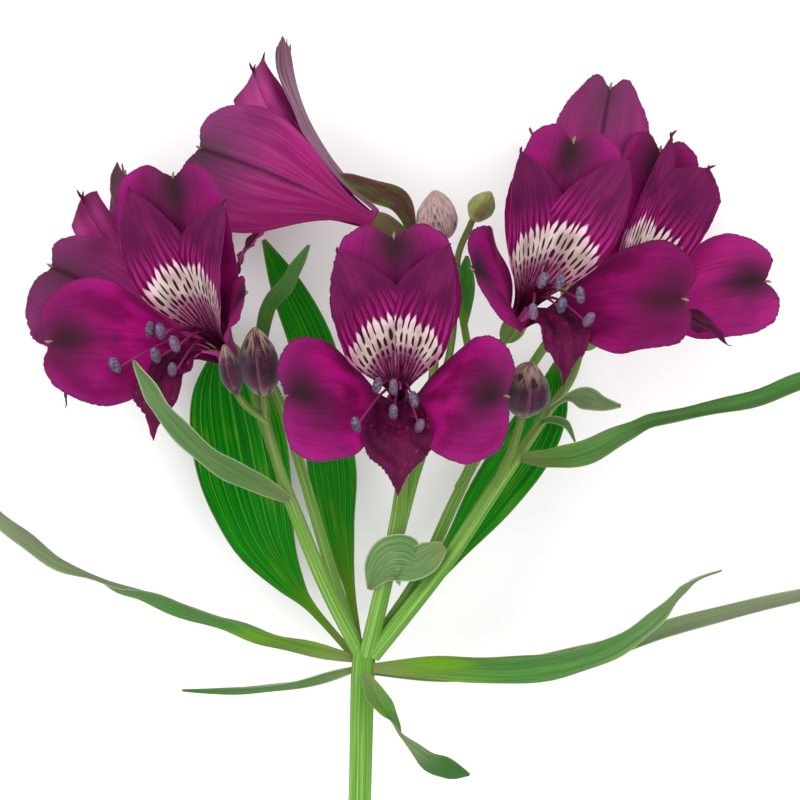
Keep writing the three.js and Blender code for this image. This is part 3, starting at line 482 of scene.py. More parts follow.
def tepal_blade(shell, base, look, tepal, seed, below, above, columns, teeth, crinkle=0, extra=0):
    """A tepal, bent along its rib at `turn` degrees round the bloom's axis. By the claw it wraps round
    the axis, and it opens out flatter above. Returns the middle of its tip and the way it points."""
    axis, up, right = look
    turn = tepal["turn"]
    c, s = math.cos(math.radians(turn)), math.sin(math.radians(turn))
    out, side = right * c + up * s, up * c - right * s
    length = tepal["length"]
    x, y, across = flat(tepal, below, above, columns)
    edge = edge_distance(x, y)
    toothed(x, y, length, teeth, seed)

    share = np.linspace(0, 1, RIB_STEPS + 1)
    angles = np.radians(tepal["first"] + (tepal["last"] - tepal["first"]) * share ** tepal["bend"])
    middle = (angles[1:] + angles[:-1]) / 2
    step = length / RIB_STEPS
    rib_a = np.concatenate([[0], np.cumsum(np.cos(middle) * step)])
    rib_r = tepal["root"] + np.concatenate([[0], np.cumsum(np.sin(middle) * step)])
    part = y / length
    a, r, angle = (np.interp(part, share, values) for values in (rib_a, rib_r, angles))
    beyond = np.maximum(part - 1, 0) * length
    a, r = a + beyond * np.cos(angles[-1]), r + beyond * np.sin(angles[-1])

    wrap = mix(1 / r, tepal["cup"], ease(part / 0.45))
    v = x / tepal["half"]
    phase = 2 * math.pi * tepal["waves"] * part + np.where(v > 0, 0.9, 0) + turn
    ruffle = tepal["wave"] * v * v * ease(part * 1.3) * np.sin(phase)
    lift = (1 - np.cos(wrap * x)) / wrap + tepal["fold"] * np.abs(x) * part + ruffle
    lift = lift + SWELLS * ripple(seed, v * 2, part * 3, 1.6) * ease(part * 2 - 0.6)
    lift = lift + CREASES * v**2 * ripple(seed + 1, v * 3, part * 8, 2.2) * ease(part * 3 - 1.2)
    if tepal["notch"]:
        lift = lift - FURROW * np.exp(-((v / 0.16) ** 2)) * ease(part * 2.6 - 1.3)
    if crinkle:
        lift = lift + crinkle * ripple(seed + 2, v * 4, part * 14, 2) * ease(part * 2.4 - 0.5)
    lean = np.sin(wrap * x) / wrap
    inward = axis * np.sin(angle)[..., None] - out * np.cos(angle)[..., None]
    grid = base + axis * a[..., None] + out * r[..., None] + side * lean[..., None]
    grid = grid + inward * lift[..., None]
    blade(shell, grid, stack(across, part, edge), PETAL, seed / 100, extra)
    tip = grid[-1, columns // 2]
    return tip, unit(tip - grid[-3, columns // 2])


def horn(shell, tip, way, seed, long=1.2):
    """A small stiff point on a tepal's end."""
    across = unit(np.cross(way, (0.3, 0.4, 0.8)))
    share, radius = np.array(HORN_PROFILE).T
    centres = tip + way * (share * long)[:, None] + across * (0.25 * long * share**2)[:, None]
    rings = ring(centres, across, np.cross(way, across), radius[:, None], round_turns(8))
    skin(shell, rings, (0, 1, 3), (2, seed / 100, 1))


def cup(shell, base, look, radius, seed):
    """The short ring that a whorl of tepals grows from."""
    axis, up, right = look
    far, share = np.array(CUP_PROFILE).T
    rings = ring(base + axis * far[:, None], right, up, radius * share[:, None], round_turns(24))
    skin(shell, rings, (0, 0.02, 3), (0, seed / 100, 0))


def outer_whorl(name, spec, base, look, seed):
    """A tepal's age_and_painted_light is 1 when fresh, 0 as usual, -1 when old and dark, and withered grey
    below that. Values above 0 and a little below it also stand for painted light and painted shade on single
    tepals: brighter where more light falls on them, darker where shade falls.
    """
    shell = Shell()
    for number, part in enumerate(("upper", "outer_left", "outer_right")):
        tepal = {**KINDS[part], **spec.get(part, {})}
        own = seed + 3 * number
        tip, way = tepal_blade(shell, base, look, tepal, own, **OUTER_MESH, extra=tepal.get("age_and_painted_light", 0))
        horn(shell, tip, way, own)
    cup(shell, base, look, OUTER_CUP, seed)
    shell.make(f"bloom_{name}_outer", petal_finish)


def inner_whorl(name, spec, base, look, seed):
    """The two striped upper tepals end in a forked pair of horns. The lower one has none."""
    shell = Shell()
    long = spec.get("prongs", 0.9)
    for number, part in enumerate(("inner_left", "inner_right", "lower")):
        tepal = {**KINDS[part], **spec.get(part, {})}
        fineness = LOWER_MESH if part == "lower" else UPPER_MESH
        tip, way = tepal_blade(shell, base, look, tepal, seed + 3 * number, **fineness)
        if part != "lower":
            turned = unit(np.cross(way, look[0]))
            horn(shell, tip, unit(way + turned * 0.35), seed, long)
            horn(shell, tip - way * 0.6, unit(way - turned * 0.6), seed, long * 0.8)
    cup(shell, base, look, INNER_CUP, seed)
    shell.make(f"bloom_{name}_inner", striped_finish)


def stamens(name, spec, base, look, seed):
    """Six bent filaments, each with its anther, round the slender style."""
    axis, up, right = look
    droop = spec.get("droop", 1)
    shell = Shell()

    def spot(a, s, u):
        return base + axis * a + right * s + up * u

    for k, (a, s, u) in enumerate(ANTHERS):
        own = (seed + k) / 100
        turn = 2 * math.pi * (k + 0.5) / len(ANTHERS)
        cos, sin = math.cos(turn), math.sin(turn)
        s, u = s * droop, u * droop
        path = [
            (*spot(1.5, 0.6 * cos, 0.6 * sin), 0.45), (*spot(2.9, 0.8 * cos, 0.8 * sin), FILAMENT_RADIUS),
            (*spot(a * 0.6, 1.2 * cos + s * 0.2, 1.2 * sin + u * 0.16), FILAMENT_RADIUS),
            (*spot(a, s, u), 0.24),
        ]
        tube(shell, path, own, sides=8)
        way = unit(axis * 0.75 + up * (0.8 - 0.1 * k) + right * 0.25 * (k % 3 - 1))
        anther(shell, spot(a + 1.3, s, u), way, unit(np.cross(way, up)), own)
    style = [
        (*spot(1.5, 0, 0), 0.5), (*spot(14, 0, -0.6), 0.4),
        (*spot(24, 0.5 * droop, -4 * droop), 0.36), (*spot(27.5, 0.6 * droop, -6.6 * droop), 0.3),
    ]
    tube(shell, style, seed / 100, sides=8)
    shell.make(f"bloom_{name}_stamens", stamen_finish)


def anther(shell, middle, way, across, seed):
    """A two-lobed pollen sac at the tip of its filament."""
    t = np.linspace(0, 1, 11)
    radius = ANTHER_RADIUS * np.sqrt(np.maximum(1 - (2 * t - 1) ** 2, 0.01)) ** 0.8
    turns = round_turns(14)
    lobes = 1 - 0.22 * np.exp(-((np.mod(turns + math.pi / 2, math.pi) - math.pi / 2) / 0.4) ** 2)
    centres = middle + way * ((t - 0.5) * ANTHER_LENGTH)[:, None]
    rings = ring(centres, across, np.cross(way, across), radius[:, None] * lobes[None], turns)
    groove = 1 - lobes
    skin(shell, rings, stack(groove, 1 - 4 * groove, groove), (0, seed, 1))


# ---- green parts
def leaf(name, spec, seed):
    bends = len(spec["rows"]) - 1
    t = np.linspace(0, 1, (LONG_LEAF_ROWS if bends > 4 else SHORT_LEAF_ROWS) + 1)
    rows = through(spec["rows"], t)
    path, half, roll = rows[:, :3], rows[:, 3], np.radians(rows[:, 4])
    along = unit(np.gradient(path, axis=0))
    level = unit(np.cross((0, 0, 1.0), along))
    rise = np.cross(along, level)
    side = level * np.cos(roll)[:, None] - rise * np.sin(roll)[:, None]
    up = np.cross(along, side)
    v = np.linspace(-1, 1, LEAF_COLUMNS + 1)[None]
    down, half = t[:, None], half[:, None]
    sway = spec["wave"] * v * v * np.sin(5.5 * down * bends + np.where(v < 0, 1.3, 0))
    keel = np.sqrt(v * v + 0.015)
    lift = half * spec["fold"] * (keel - 0.4) + sway * np.minimum(1, half / 3)
    lift = lift + 0.18 * ripple(seed, v * 2, down * 9, 1.5) * np.minimum(1, half / 4)
    grid = path[:, None] + side[:, None] * (v * half)[..., None] + up[:, None] * lift[..., None]
    place = stack(v, down, (1 - np.abs(v)) * half)
    foot, tip = np.broadcast_to(spec["grey"], 2)
    shell = Shell()
    blade(shell, grid, place, LEAF, seed / 100, mix(foot, tip, down))
    shell.make(name, leaf_finish)


def bud_rings(spec, sides, steps):
    """Rings up a pointed egg with three low keels."""
    axis, up, right = directions(spec["axis"], (0.2, 0.97, -0.1))
    rows = through(BUD_PROFILE, np.linspace(0, 1, (len(BUD_PROFILE) - 1) * steps + 1))
    t, share = rows[:, :1], rows[:, 1:]
    turns = round_turns(sides)
    keel = 0.09 * np.sin(math.pi * t) * np.cos(BUD_KEELS * turns + KEEL_TURN)
    centres = np.array(spec["base"]) + axis * (spec["length"] * t)
    return t, turns, centres, right, up, spec["radius"] * share * (1 + keel)


def bud(name, spec, seed):
    t, turns, centres, across, third, radii = bud_rings(spec, 48, 7)
    seams = BUD_KEELS * turns + KEEL_TURN + math.pi
    groove = np.exp(-((np.mod(seams + math.pi, 2 * math.pi) - math.pi) / 0.3) ** 2)
    radii = radii * (1 - 0.07 * groove * np.sin(math.pi * t))
    radii = radii * (1 + 0.04 * ripple(seed, np.cos(turns) * 2, t * 3, 1.8))
    radii = radii * (1 + 0.018 * ripple(seed + 1, np.sin(turns) * 7, t * 9, 2.2))
    place = stack(groove, t, np.cos(BUD_KEELS * turns))
    shell = Shell()
    skin(shell, ring(centres, across, third, radii, turns), place, (1, seed / 100, spec.get("downy", 0)))
    young = name.endswith("green")
    shell.make(name, young_bud_finish if young else bud_finish)


def stem():
    shell = Shell()
    tube(shell, MAIN_STEM, 0.1, sides=28, steps=14, ribs=STEM_RIBS, relief=0.035)
    for number, spec in enumerate(BLOOMS.values()):
        base, look = stand(spec)
        neck = base - look[0] * (GAP + OVARY_LENGTH)
        end = [(*(neck - look[0] * 2.5), PEDICEL_RADIUS), (*(neck + look[0]), PEDICEL_RADIUS)]
        seed = 0.2 + number / 10
        tube(shell, spec["ray"] + end, seed, sides=18, ribs=RAY_RIBS, relief=0.05, flush=(0, 0.6))
        ovary(shell, base, look, seed, spec.get("flush", 0.35))
    for number, (rows, kept) in enumerate(zip(TWIGS, BUDS.values())):
        meeting = (*kept["base"], rows[-1][3] * 0.85)
        tube(shell, [*rows, meeting], 0.3 + number / 9, sides=12, flush=(0.2, 0.8))
    shell.make("stem", stem_finish)


def ovary(shell, base, look, seed, flush):
    """The ribbed green ovary under a bloom."""
    axis, up, right = look
    rows = through(OVARY_PROFILE, np.linspace(0, 1, 16))
    t, radius = rows[:, :1], rows[:, 1:]
    turns = round_turns(48)
    ribbed = 0.09 * np.sin(math.pi * np.minimum(t, 0.9)) * np.cos(OVARY_RIBS * turns)
    centres = base + axis * (-GAP - OVARY_LENGTH * (1 - t))
    rings = ring(centres, right, up, radius * (1 + ribbed), turns)
    skin(shell, rings, stack(np.cos(turns), np.sin(turns), t * OVARY_LENGTH), (1, seed, flush))


# ---- finishes
def tint(red, green, blue):
    """A colour given as it looks on a screen, 0 to 255, as the linear colour that light works on."""
    shares = (value / 255 for value in (red, green, blue))
    return (*(c / 12.92 if c <= 0.04045 else ((c + 0.055) / 1.055) ** 2.4 for c in shares), 1)


class Number:
    """A number that varies over a surface. Sums written with it become Math nodes."""

    def __init__(self, finish, socket):
        self.finish, self.socket = finish, socket

    def maths(self, operation, *values):
        return self.finish.number("ShaderNodeMath", dict(enumerate(values)), operation=operation)

    def __add__(self, other):
        return self.maths("ADD", self, other)

    def __sub__(self, other):
        return self.maths("SUBTRACT", self, other)

    def __rsub__(self, other):
        return self.maths("SUBTRACT", other, self)

    def __mul__(self, other):
        return self.maths("MULTIPLY", self, other)

    def __rtruediv__(self, other):
        return self.maths("DIVIDE", other, self)

    __radd__, __rmul__ = __add__, __mul__

    def size(self):
        return self.maths("ABSOLUTE", self)

    def nearest(self):
        return self.maths("ROUND", self)

    def tooth(self):
        """Goes evenly from 0 at whole numbers to 1 halfway between them."""
        return self.maths("PINGPONG", self, 0.5) * 2

    def hump(self):
        """1 at zero, falling smoothly to nothing by about 2 on either side."""
        return self.maths("EXPONENT", self * self * -1)

    def rise(self, low, high):
        """0 up to low and 1 from high on, smoothly between."""
        sockets = {0: self, 1: low, 2: high}
        return self.finish.number("ShaderNodeMapRange", sockets, interpolation_type="SMOOTHSTEP")

    def fall(self, low, high):
        return 1 - self.rise(low, high)


class Finish:
    """One material: a Principled shader and the nodes that feed it."""

    def __init__(self, name, constants):
        self.material = bpy.data.materials.new(name)
        self.material.use_nodes = True
        self.tree = self.material.node_tree
        self.shader = self.tree.nodes["Principled BSDF"]
        for socket, value in constants.items():
            self.shader.inputs[socket].default_value = value

    def node(self, kind, sockets, **settings):
        made = self.tree.nodes.new(kind)
        for setting, value in settings.items():
            setattr(made, setting, value)
        for socket, value in sockets.items():
            if isinstance(value, Number):
                value = value.socket
            if isinstance(value, bpy.types.NodeSocket):
                self.tree.links.new(value, made.inputs[socket])
            else:
                made.inputs[socket].default_value = value
        return made

    def number(self, kind, sockets, **settings):
        return Number(self, self.node(kind, sockets, **settings).outputs[0])

    def read(self, attribute):
        """The three numbers of one of the piece's own vectors."""
        vector = self.node("ShaderNodeAttribute", {}, attribute_name=attribute).outputs["Vector"]
        apart = self.node("ShaderNodeSeparateXYZ", {0: vector})
        return [Number(self, output) for output in apart.outputs]

    def cloud(self, *place, scale=1, detail=3, roughness=0.5):
        """Soft noise, mostly between 0.3 and 0.7, over three numbers or, given none, over the model."""
        if place:
            vector = self.node("ShaderNodeCombineXYZ", dict(enumerate(place))).outputs[0]
        else:
            vector = self.node("ShaderNodeTexCoord", {}).outputs["Object"]
        sockets = {"Vector": vector, "Scale": scale, "Detail": detail, "Roughness": roughness}
        return self.number("ShaderNodeTexNoise", sockets)

    def random(self, value):
        """A fixed random number from 0 to 1 for each whole value."""
        return self.number("ShaderNodeTexWhiteNoise", {"W": value}, noise_dimensions="1D")

    def blend(self, share, first, second):
        sockets = {0: share, 6: first, 7: second}
        return self.node("ShaderNodeMix", sockets, data_type="RGBA", clamp_factor=True).outputs[2]

    def coats(self, colour, *coats):
        """Coats laid over a colour one by one, each given as its share, red, green and blue."""
        for share, *levels in coats:
            colour = self.blend(share, colour, tint(*levels))
        return colour

    def done(self, colour, roughness, height, depth, strength=0.5):
        """depth is the bump's height in millimetres."""
        sockets = {"Strength": strength, "Distance": depth * MM, "Height": height}
        bump = self.node("ShaderNodeBump", sockets)
        fed = {"Base Color": colour, "Roughness": roughness.socket, "Normal": bump.outputs[0]}
        for socket, output in fed.items():
            self.tree.links.new(output, self.shader.inputs[socket])
        return self.material


SKIN = {
    "Specular IOR Level": 0.1, "Subsurface Weight": 0.08, "Subsurface Radius": (1.0, 0.25, 0.6),
    "Subsurface Scale": 0.001,
}
VELVET = {
    **SKIN, "Specular IOR Level": 0.05, "Sheen Weight": 0.03, "Sheen Roughness": 0.35,
    "Sheen Tint": (0.8, 0.2, 0.6, 1),
}


def make_petal_finish():
    """Magenta velvet with a dark blotch below the notch, fine veins and a dark toothed margin, and painted
    shade that darkens the upper face towards the claw, deep in the throat. The backs are greyer, with pale
    streaks painted on as highlights, and withered where a tepal's age_and_painted_light is low."""
    paint = Finish("magenta_velvet", VELVET)
    v, along, edge = paint.read("place")
    face, seed, age_and_painted_light = paint.read("kind")
    cloudy = paint.cloud(v * 1.6, along * 3, seed * 41)
    streaks = paint.cloud(v * 24, along * 2.2, seed * 17)
    painted_highlight = paint.cloud(v * 10, along * 1.6, seed * 13, detail=4, roughness=0.7)
    veins = (v * 11 + cloudy * 0.8).tooth()
    rosy = cloudy.rise(0.38, 0.6)
    blotch = (v * 2.8 + cloudy - 0.5).hump() * ((along - 0.87) * 8).hump()
    tail = (v * 8).hump() * along.rise(0.45, 0.82) * along.fall(0.9, 0.97)
    dusk = (v * 1.5 + cloudy - 0.5).hump() * ((along - 0.85) * 4.2).hump()
    upper = paint.coats(
        # Above 0 a tepal turns fresh pink; on some tepals this is painted light on a tepal that lies in
        # shade.
        tint(114, 6, 76), (rosy, 170, 13, 118), (age_and_painted_light * 0.8, 200, 40, 142),
        (along.rise(0.6, 0.9) * cloudy.rise(0.3, 0.55) * 0.75, 118, 20, 90),
        # painted shade: the upper face darker towards the claw, deep in the throat
        (along.fall(0.12, 0.5) * 0.6, 86, 6, 52), (streaks.rise(0.42, 0.72) * 0.4, 90, 8, 60),
        (veins.fall(0, 0.25) * 0.12, 76, 8, 52), (edge.fall(0.5, 3.5) * 0.3, 136, 36, 108),
        (dusk * 0.6, 76, 24, 58), (tail * 0.5, 54, 18, 40), (blotch * 0.95, 46, 26, 34),
        (edge.fall(0.05, 0.45) * along.rise(0.4, 0.6) * 0.8, 80, 28, 58),
    )
    under = paint.coats(
        tint(128, 26, 90), (rosy, 150, 32, 108), (along.fall(0.2, 0.7) * 0.6, 146, 22, 92),
        (along.rise(0.4, 0.95) * (0.25 + cloudy * 0.6), 112, 62, 104),
        (streaks.rise(0.46, 0.72) * 0.5, 98, 38, 76),
        # painted highlight: pale pink streaks on the backs, towards the claw
        (painted_highlight.rise(0.42, 0.7) * along.fall(0.5, 0.9) * 0.35, 190, 80, 150),
        ((v * 2.2 + 0.1).hump() * along.rise(0.45, 0.85) * 0.55, 96, 60, 82),
        ((v * 4.5).hump() * along.rise(0.7, 0.95) * 0.6, 62, 56, 58),
        ((v * 22).hump() * along.rise(0.1, 0.4) * 0.8, 58, 26, 42),
        (veins.fall(0, 0.22) * 0.12, 78, 22, 58),
    )
    withered = paint.coats(
        tint(86, 52, 70), (streaks.rise(0.35, 0.65), 138, 106, 124),
        (along.rise(0.7, 0.95) * 0.6, 92, 48, 68),
    )
    colour = paint.blend(face, under, upper)
    # From -1 to 0 a tepal darkens: old and dark, and on some tepals painted shade.
    colour = paint.coats(colour, (age_and_painted_light * -1 * age_and_painted_light.rise(-1.4, -1), 70, 0, 40))
    colour = paint.blend(age_and_painted_light.fall(-1.6, -1), colour, withered)
    colour = paint.coats(colour, (face.rise(1.2, 1.8), 120, 112, 88))
    height = veins.fall(0, 0.5) * -0.4 + streaks * 0.6
    return paint.done(colour, 0.55 + cloudy * 0.2, height, 0.2, 0.35)


def make_striped_finish():
    """The two upper inner tepals: a cream fan crossed by dark dashes, purple streaks above it and pink
    lines below. The lower one is dark, speckled maroon."""
    paint = Finish("striped_petal", VELVET)
    v, along, edge = paint.read("place")
    face, seed, low = paint.read("kind")
    drift = paint.cloud(v * 2.5, along * 4, seed * 53, detail=2)
    cloudy = paint.cloud(v * 2, along * 4, seed * 23)
    fine = paint.cloud(v * 18, along * 3, seed * 71, roughness=0.6)
    grit = paint.cloud(v * 9, along * 16, seed * 47)
    rows = v * 5.4 + (drift - 0.5) * 1.3
    line = rows.tooth()
    chance = paint.random(rows.nearest() + (seed * 97).nearest() * 31)
    between = paint.random((rows + 0.5).nearest() + (seed * 61).nearest() * 17)
    mottled = cloudy.rise(0.35, 0.65)

    wedge = (line - 0.95 + (along - 0.6) * 2.3 + fine * 0.8).fall(-0.1, 0.12) * along.rise(0.52, 0.58)
    upper = paint.coats(
        tint(80, 16, 58), (mottled, 106, 24, 76),
        (along.rise(0.54, 0.6) * along.fall(0.63, 0.8) * 0.8, 158, 32, 116),
        (fine.rise(0.44, 0.62) * 0.6, 70, 10, 54), (wedge * 0.9, 84, 4, 48),
        (along.rise(0.78, 0.98) * 0.4, 92, 22, 68),
    )

    level = along + v * v * 0.1
    reach = 0.6 + line * 0.05 + (between - 0.5) * 0.05
    fan = paint.coats(
        tint(162, 138, 132), (mottled, 212, 194, 188), (level.rise(0.55, 0.65) * 0.8, 236, 196, 216),
        (level.fall(0.4, 0.5) * 0.8, 170, 116, 142), (v.size().rise(0.6, 1) * 0.75, 168, 70, 124),
    )
    colour = paint.blend((level - reach).fall(-0.015, 0.015), upper, fan)

    pale = (line * 0.4 - fine + 0.32).rise(0, 0.25) * along.rise(0.16, 0.3)
    claw = paint.coats(
        tint(138, 46, 98), (fine.rise(0.4, 0.6), 94, 14, 56), (pale * 0.65, 196, 134, 164),
        (grit.rise(0.54, 0.62) * 0.8, 58, 6, 34), (along.fall(0.08, 0.28) * 0.6, 78, 12, 44),
    )
    colour = paint.blend((level + fine * 0.16).rise(0.43, 0.55), claw, colour)

    step = 2.75 / level + (chance - 0.5) * 0.55 + (fine - 0.5) * 0.8
    beat = step.tooth()
    whim = paint.random((step - 0.5).nearest() * 13 + rows.nearest() * 3 + (seed * 59).nearest() * 41)
    width = (1 - level + (between - 0.5) * 0.1) * (0.6 + whim * 0.5) * beat.rise(-0.1, 0.7)
    dash = (line - width).fall(-0.08, 0.08) * beat.rise(0.1, 0.28)
    dash = dash * level.rise(0.32, 0.42) * (level - reach).fall(0.01, 0.05)
    colour = paint.coats(colour, (dash * 0.97, 42, 6, 28))

    speckle = paint.cloud(v * 9, along * 26, seed * 29)
    dark = paint.coats(
        tint(52, 4, 32), (mottled, 84, 8, 52), (speckle.rise(0.54, 0.64) * 0.7, 48, 6, 30),
        (speckle.fall(0.3, 0.36) * 0.3, 160, 84, 130), (along.rise(0.72, 0.95) * 0.4, 92, 26, 64),
    )
    colour = paint.blend(low, colour, dark)

    # Backs: partly their own pink and partly painted light, made lighter to stand for light on faces that
    # turn away from the lamps.
    pink = paint.coats(tint(184, 52, 134), (mottled, 212, 84, 166))
    under = paint.coats(
        paint.blend(0.85, colour, pink), ((v * 14).hump() * 0.5, 104, 34, 76),
        (along.rise(0.85, 1) * 0.6, 72, 40, 58),
    )
    colour = paint.blend(face, under, colour)
    colour = paint.coats(colour, (edge.fall(0.05, 0.35) * along.rise(0.5, 0.7) * 0.5, 78, 24, 58))
    height = line.fall(0, 0.6) * -0.4 + fine * 0.5 + low * speckle * 2
    return paint.done(colour, 0.5 + cloudy * 0.2, height, 0.25)


def make_stamen_finish():
    """Dark pink filaments, and pollen sacs of a dusty slate purple with painted shade along the groove
    between their lobes.
    """
    paint = Finish("filament_and_pollen", SKIN)
    _, ridge, _ = paint.read("place")
    share, seed, sac = paint.read("kind")
    grain = paint.cloud(scale=1500)
    thread = paint.coats(tint(92, 14, 58), (share.rise(0.5, 1), 132, 44, 92))
    dusty = paint.coats(
        tint(66, 56, 76), (grain.rise(0.4, 0.62), 108, 98, 118),
        # painted shade: darker along the groove between the anther's two lobes
        (paint.random((seed * 100).nearest()) * 0.5, 112, 78, 104), (ridge.fall(0, 0.4) * 0.6, 60, 44, 62),
    )
    return paint.done(paint.blend(sac, thread, dusty), 0.55 + grain * 0.3, grain * sac, 0.12, 0.4)


def make_leaf_finish():
    """Fresh green with pale parallel veins and lush patches by the foot, grey-green below and where the
    leaf is greyer, brown where it has dried, and a thin brown or pale margin."""
    paint = Finish("leaf_green", {**SKIN, "Subsurface Radius": (0.1, 1, 0.1)})
    v, along, edge = paint.read("place")
    face, seed, grey = paint.read("kind")
    cloudy = paint.cloud(v * 1.3, along * 5, seed * 37)
    streaks = paint.cloud(v * 16, along * 2.5, seed * 11)
    veins = (v * 4 + (cloudy - 0.5) * 0.3).tooth()
    threads = (v * 17).tooth()
    lush = paint.cloud(v * 0.5, along * 3.2, seed * 63, detail=2).rise(0.5, 0.62) * streaks.rise(0.3, 0.5)
    lush = lush * grey.fall(0.55, 0.7) * along.fall(0.35, 0.5)
    fresh = paint.coats(
        tint(0, 92, 0), (streaks.rise(0.35, 0.65), 4, 126, 0),
        (cloudy.rise(0.5, 0.66) * streaks.rise(0.4, 0.6) * 0.45, 84, 134, 8),
        (threads.fall(0, 0.5) * 0.2, 0, 72, 0), (veins.fall(0.02, 0.14) * 0.55, 96, 166, 54),
        (along.fall(0.05, 0.32) * 0.65, 112, 142, 34), (lush * grey.rise(0.05, 0.2) * 0.7, 104, 158, 18),
    )
    dull = paint.coats(
        tint(86, 112, 68), (streaks.rise(0.3, 0.7), 118, 134, 94),
        (veins.fall(0.02, 0.2) * 0.3, 160, 176, 134), (grey.rise(0.65, 0.95) * 0.6, 130, 130, 110),
    )
    brown = (grey * -1).rise(0, 1) * (0.5 + streaks)
    dried = paint.coats(
        tint(64, 46, 34), (streaks.rise(0.42, 0.58), 96, 42, 58),
        (cloudy.rise(0.52, 0.6) * 0.6, 74, 92, 42),
    )
    colour = paint.blend(grey * (0.55 + cloudy * 0.9) * (1 - lush * 0.75), fresh, dull)
    below = paint.coats(dull, (grey.fall(0.12, 0.3) * (1 - brown), 50, 98, 40))
    colour = paint.blend(face.rise(0.2, 0.4), below, colour)
    colour = paint.blend(brown, colour, dried)
    margin = paint.coats(tint(112, 104, 78), (grey.rise(0.4, 0.7), 168, 178, 146))
    colour = paint.coats(
        paint.blend(edge.fall(0.1, 0.42) * 0.6, colour, margin),
        (along.fall(0, 0.12) * 0.6, 122, 122, 86), (along.rise(0.93, 1) * 0.6, 96, 92, 58),
    )
    height = veins.fall(0, 0.35) * 0.8 + threads * 0.3 + streaks * 0.4
    return paint.done(colour, 0.42 + cloudy * 0.22, height, 0.3)


def make_stem_finish():
    """Pale green, lined lengthwise, flushed purple-brown towards the blooms."""
    paint = Finish("stem_green", {**SKIN, "Subsurface Radius": (0.5, 1, 0.3)})
    x, y, far = paint.read("place")
    _, seed, flush = paint.read("kind")
    lines = paint.cloud(x * 5, y * 5, far * 0.02 + seed * 40, roughness=0.6)
    soft = paint.cloud(x, y, far * 0.05 + seed * 20, detail=2)
    colour = paint.coats(
        tint(72, 124, 30), (lines.rise(0.36, 0.62), 118, 160, 76),
        (lines.rise(0.58, 0.7) * 0.6, 176, 198, 132), (soft.rise(0.45, 0.7) * 0.4, 84, 142, 42),
        (flush * (0.5 + soft), 98, 84, 58),
    )
    return paint.done(colour, 0.42 + lines * 0.3, lines, 0.3)


def make_bud_finish(name, dark, light, keels, seams, worn):
    """A closed bud: a skin between dark and light, keels of another tint, paler seams between its tepals,
    and worn patches towards its ends. Colours are given as red, green and blue."""
    paint = Finish(name, {**SKIN, "Sheen Weight": 0.2})
    seam, along, keel = paint.read("place")
    _, seed, downy = paint.read("kind")
    cloudy = paint.cloud(scale=260)
    streaks = paint.cloud(keel * 5, along * 3, seed * 40 + seam * 3)
    patches = paint.cloud(keel * 2, along * 5, seed * 70, detail=4, roughness=0.6)
    down = paint.cloud(keel * 9, along * 4, seed * 30, detail=4, roughness=0.7)
    ends = along.rise(0.62, 1) + along.fall(0, 0.3)
    colour = paint.coats(
        tint(*dark), (cloudy.rise(0.35, 0.65), *light), (keel.rise(-0.2, 0.9) * 0.6, *keels),
        (streaks.rise(0.48, 0.66) * 0.5, *dark), (downy * down.rise(0.34, 0.56), 184, 156, 154),
        (seam.rise(0.45, 0.95) * streaks.rise(0.3, 0.6) * 0.7, *seams),
        (ends * patches.rise(0.45, 0.56), *worn),
    )
    return paint.done(colour, 0.45 + cloudy * 0.25, streaks + cloudy, 0.3)


# ---- assembly
def find_shift():
    """The plant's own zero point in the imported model, from the furthest corner of one bud."""
    _, turns, centres, across, third, radii = bud_rings(BUDS["bud_top"], 9, 1)
    corner = ring(centres, across, third, radii, turns).reshape(-1, 3).max(0)
    return np.array(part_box("bud_top")[1]) / MM - corner


shift = find_shift()
petal_finish = make_petal_finish()
striped_finish = make_striped_finish()
stamen_finish = make_stamen_finish()
leaf_finish = make_leaf_finish()
stem_finish = make_stem_finish()
bud_finish = make_bud_finish(
    "bud_purple", (36, 10, 28), (74, 24, 52), keels=(62, 48, 58), seams=(152, 104, 124),
    worn=(150, 124, 108),
)
young_bud_finish = make_bud_finish(
    "bud_green", (96, 112, 52), (132, 142, 74), keels=(120, 88, 72), seams=(160, 166, 104),
    worn=(150, 150, 88),
)

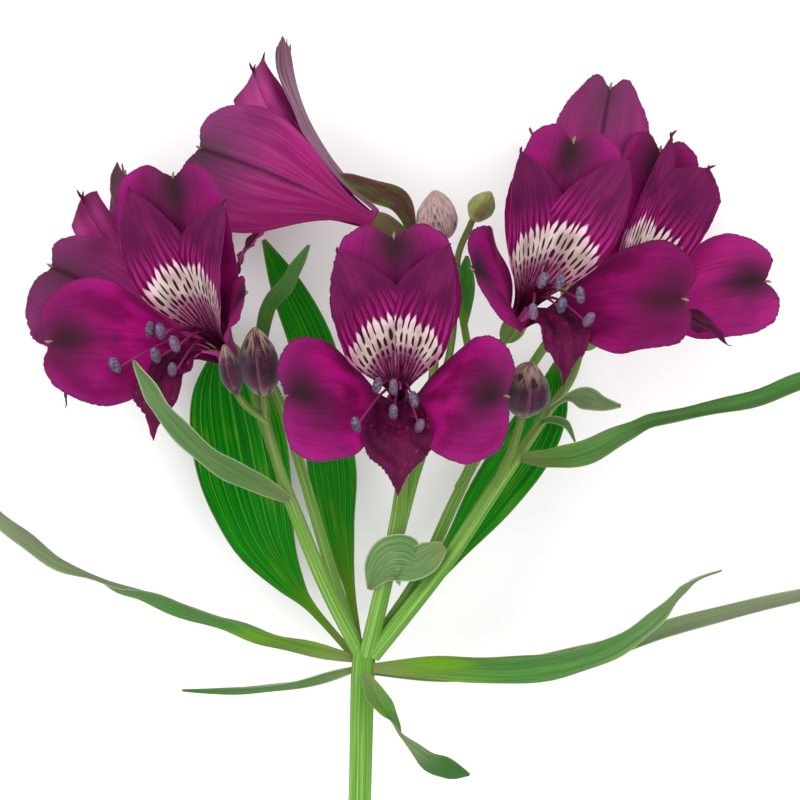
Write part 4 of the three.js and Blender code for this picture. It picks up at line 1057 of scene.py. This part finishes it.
stem()
for number, (name, spec) in enumerate(LEAVES.items()):
    leaf(name, spec, 300 + number)
for number, (name, spec) in enumerate(BUDS.items()):
    bud(name, spec, 400 + number)
for number, (name, spec) in enumerate(BLOOMS.items()):
    base, look = stand(spec)
    seed = 1 + 40 * number
    outer_whorl(name, spec, base, look, seed)
    inner_whorl(name, spec, base, look, seed + 12)
    stamens(name, spec, base, look, seed + 24)


# ---- floor, light and camera
def make_floor(reach=3.0):
    mesh = bpy.data.meshes.new("floor")
    corners = [(-reach, -reach, 0), (reach, -reach, 0), (reach, reach, 0), (-reach, reach, 0)]
    mesh.from_pydata(corners, [], [(0, 1, 2, 3)])
    constants = {"Base Color": (0.93, 0.93, 0.925, 1), "Roughness": 0.9, "Specular IOR Level": 0.1}
    mesh.materials.append(Finish("pale_paper", constants).material)
    floor = add_object("floor", mesh)


def make_light(name, place, size, power):
    """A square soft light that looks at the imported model's zero point."""
    light = bpy.data.lights.new(name, "AREA")
    light.shape, light.size, light.energy = "SQUARE", size, power
    lamp = add_object(name, light)
    lamp.location = place
    lamp.rotation_euler = (-lamp.location).to_track_quat("-Z", "Y").to_euler()


def make_camera():
    """Straight above the flower head, with +Y up in the picture. The view's width is measured at the
    height of the front blooms."""
    height, view_width, view_height = 1200, 188, 45
    camera = bpy.data.cameras.new("camera")
    camera.sensor_width = 36
    camera.lens = camera.sensor_width * (height - view_height) / view_width
    holder = add_object("camera", camera)
    holder.location = ((np.array([0, 0, height]) + shift) * MM).tolist()
    bpy.context.scene.camera = holder


def make_world():
    """An even pale sky."""
    world = bpy.data.worlds.new("studio")
    world.use_nodes = True
    sky = world.node_tree.nodes["Background"].inputs
    sky["Color"].default_value = (1, 1, 1, 1)
    sky["Strength"].default_value = 0.7
    bpy.context.scene.world = world
    bpy.context.scene.view_settings.view_transform = "Standard"


make_floor()
make_light("window_left", (-0.9, 0.7, 1.3), 1.4, 19)
make_light("window_right", (1.0, 0.2, 1.2), 1.4, 11)
make_light("ceiling", (0.0, -0.5, 1.8), 1.8, 16)
make_world()
make_camera()
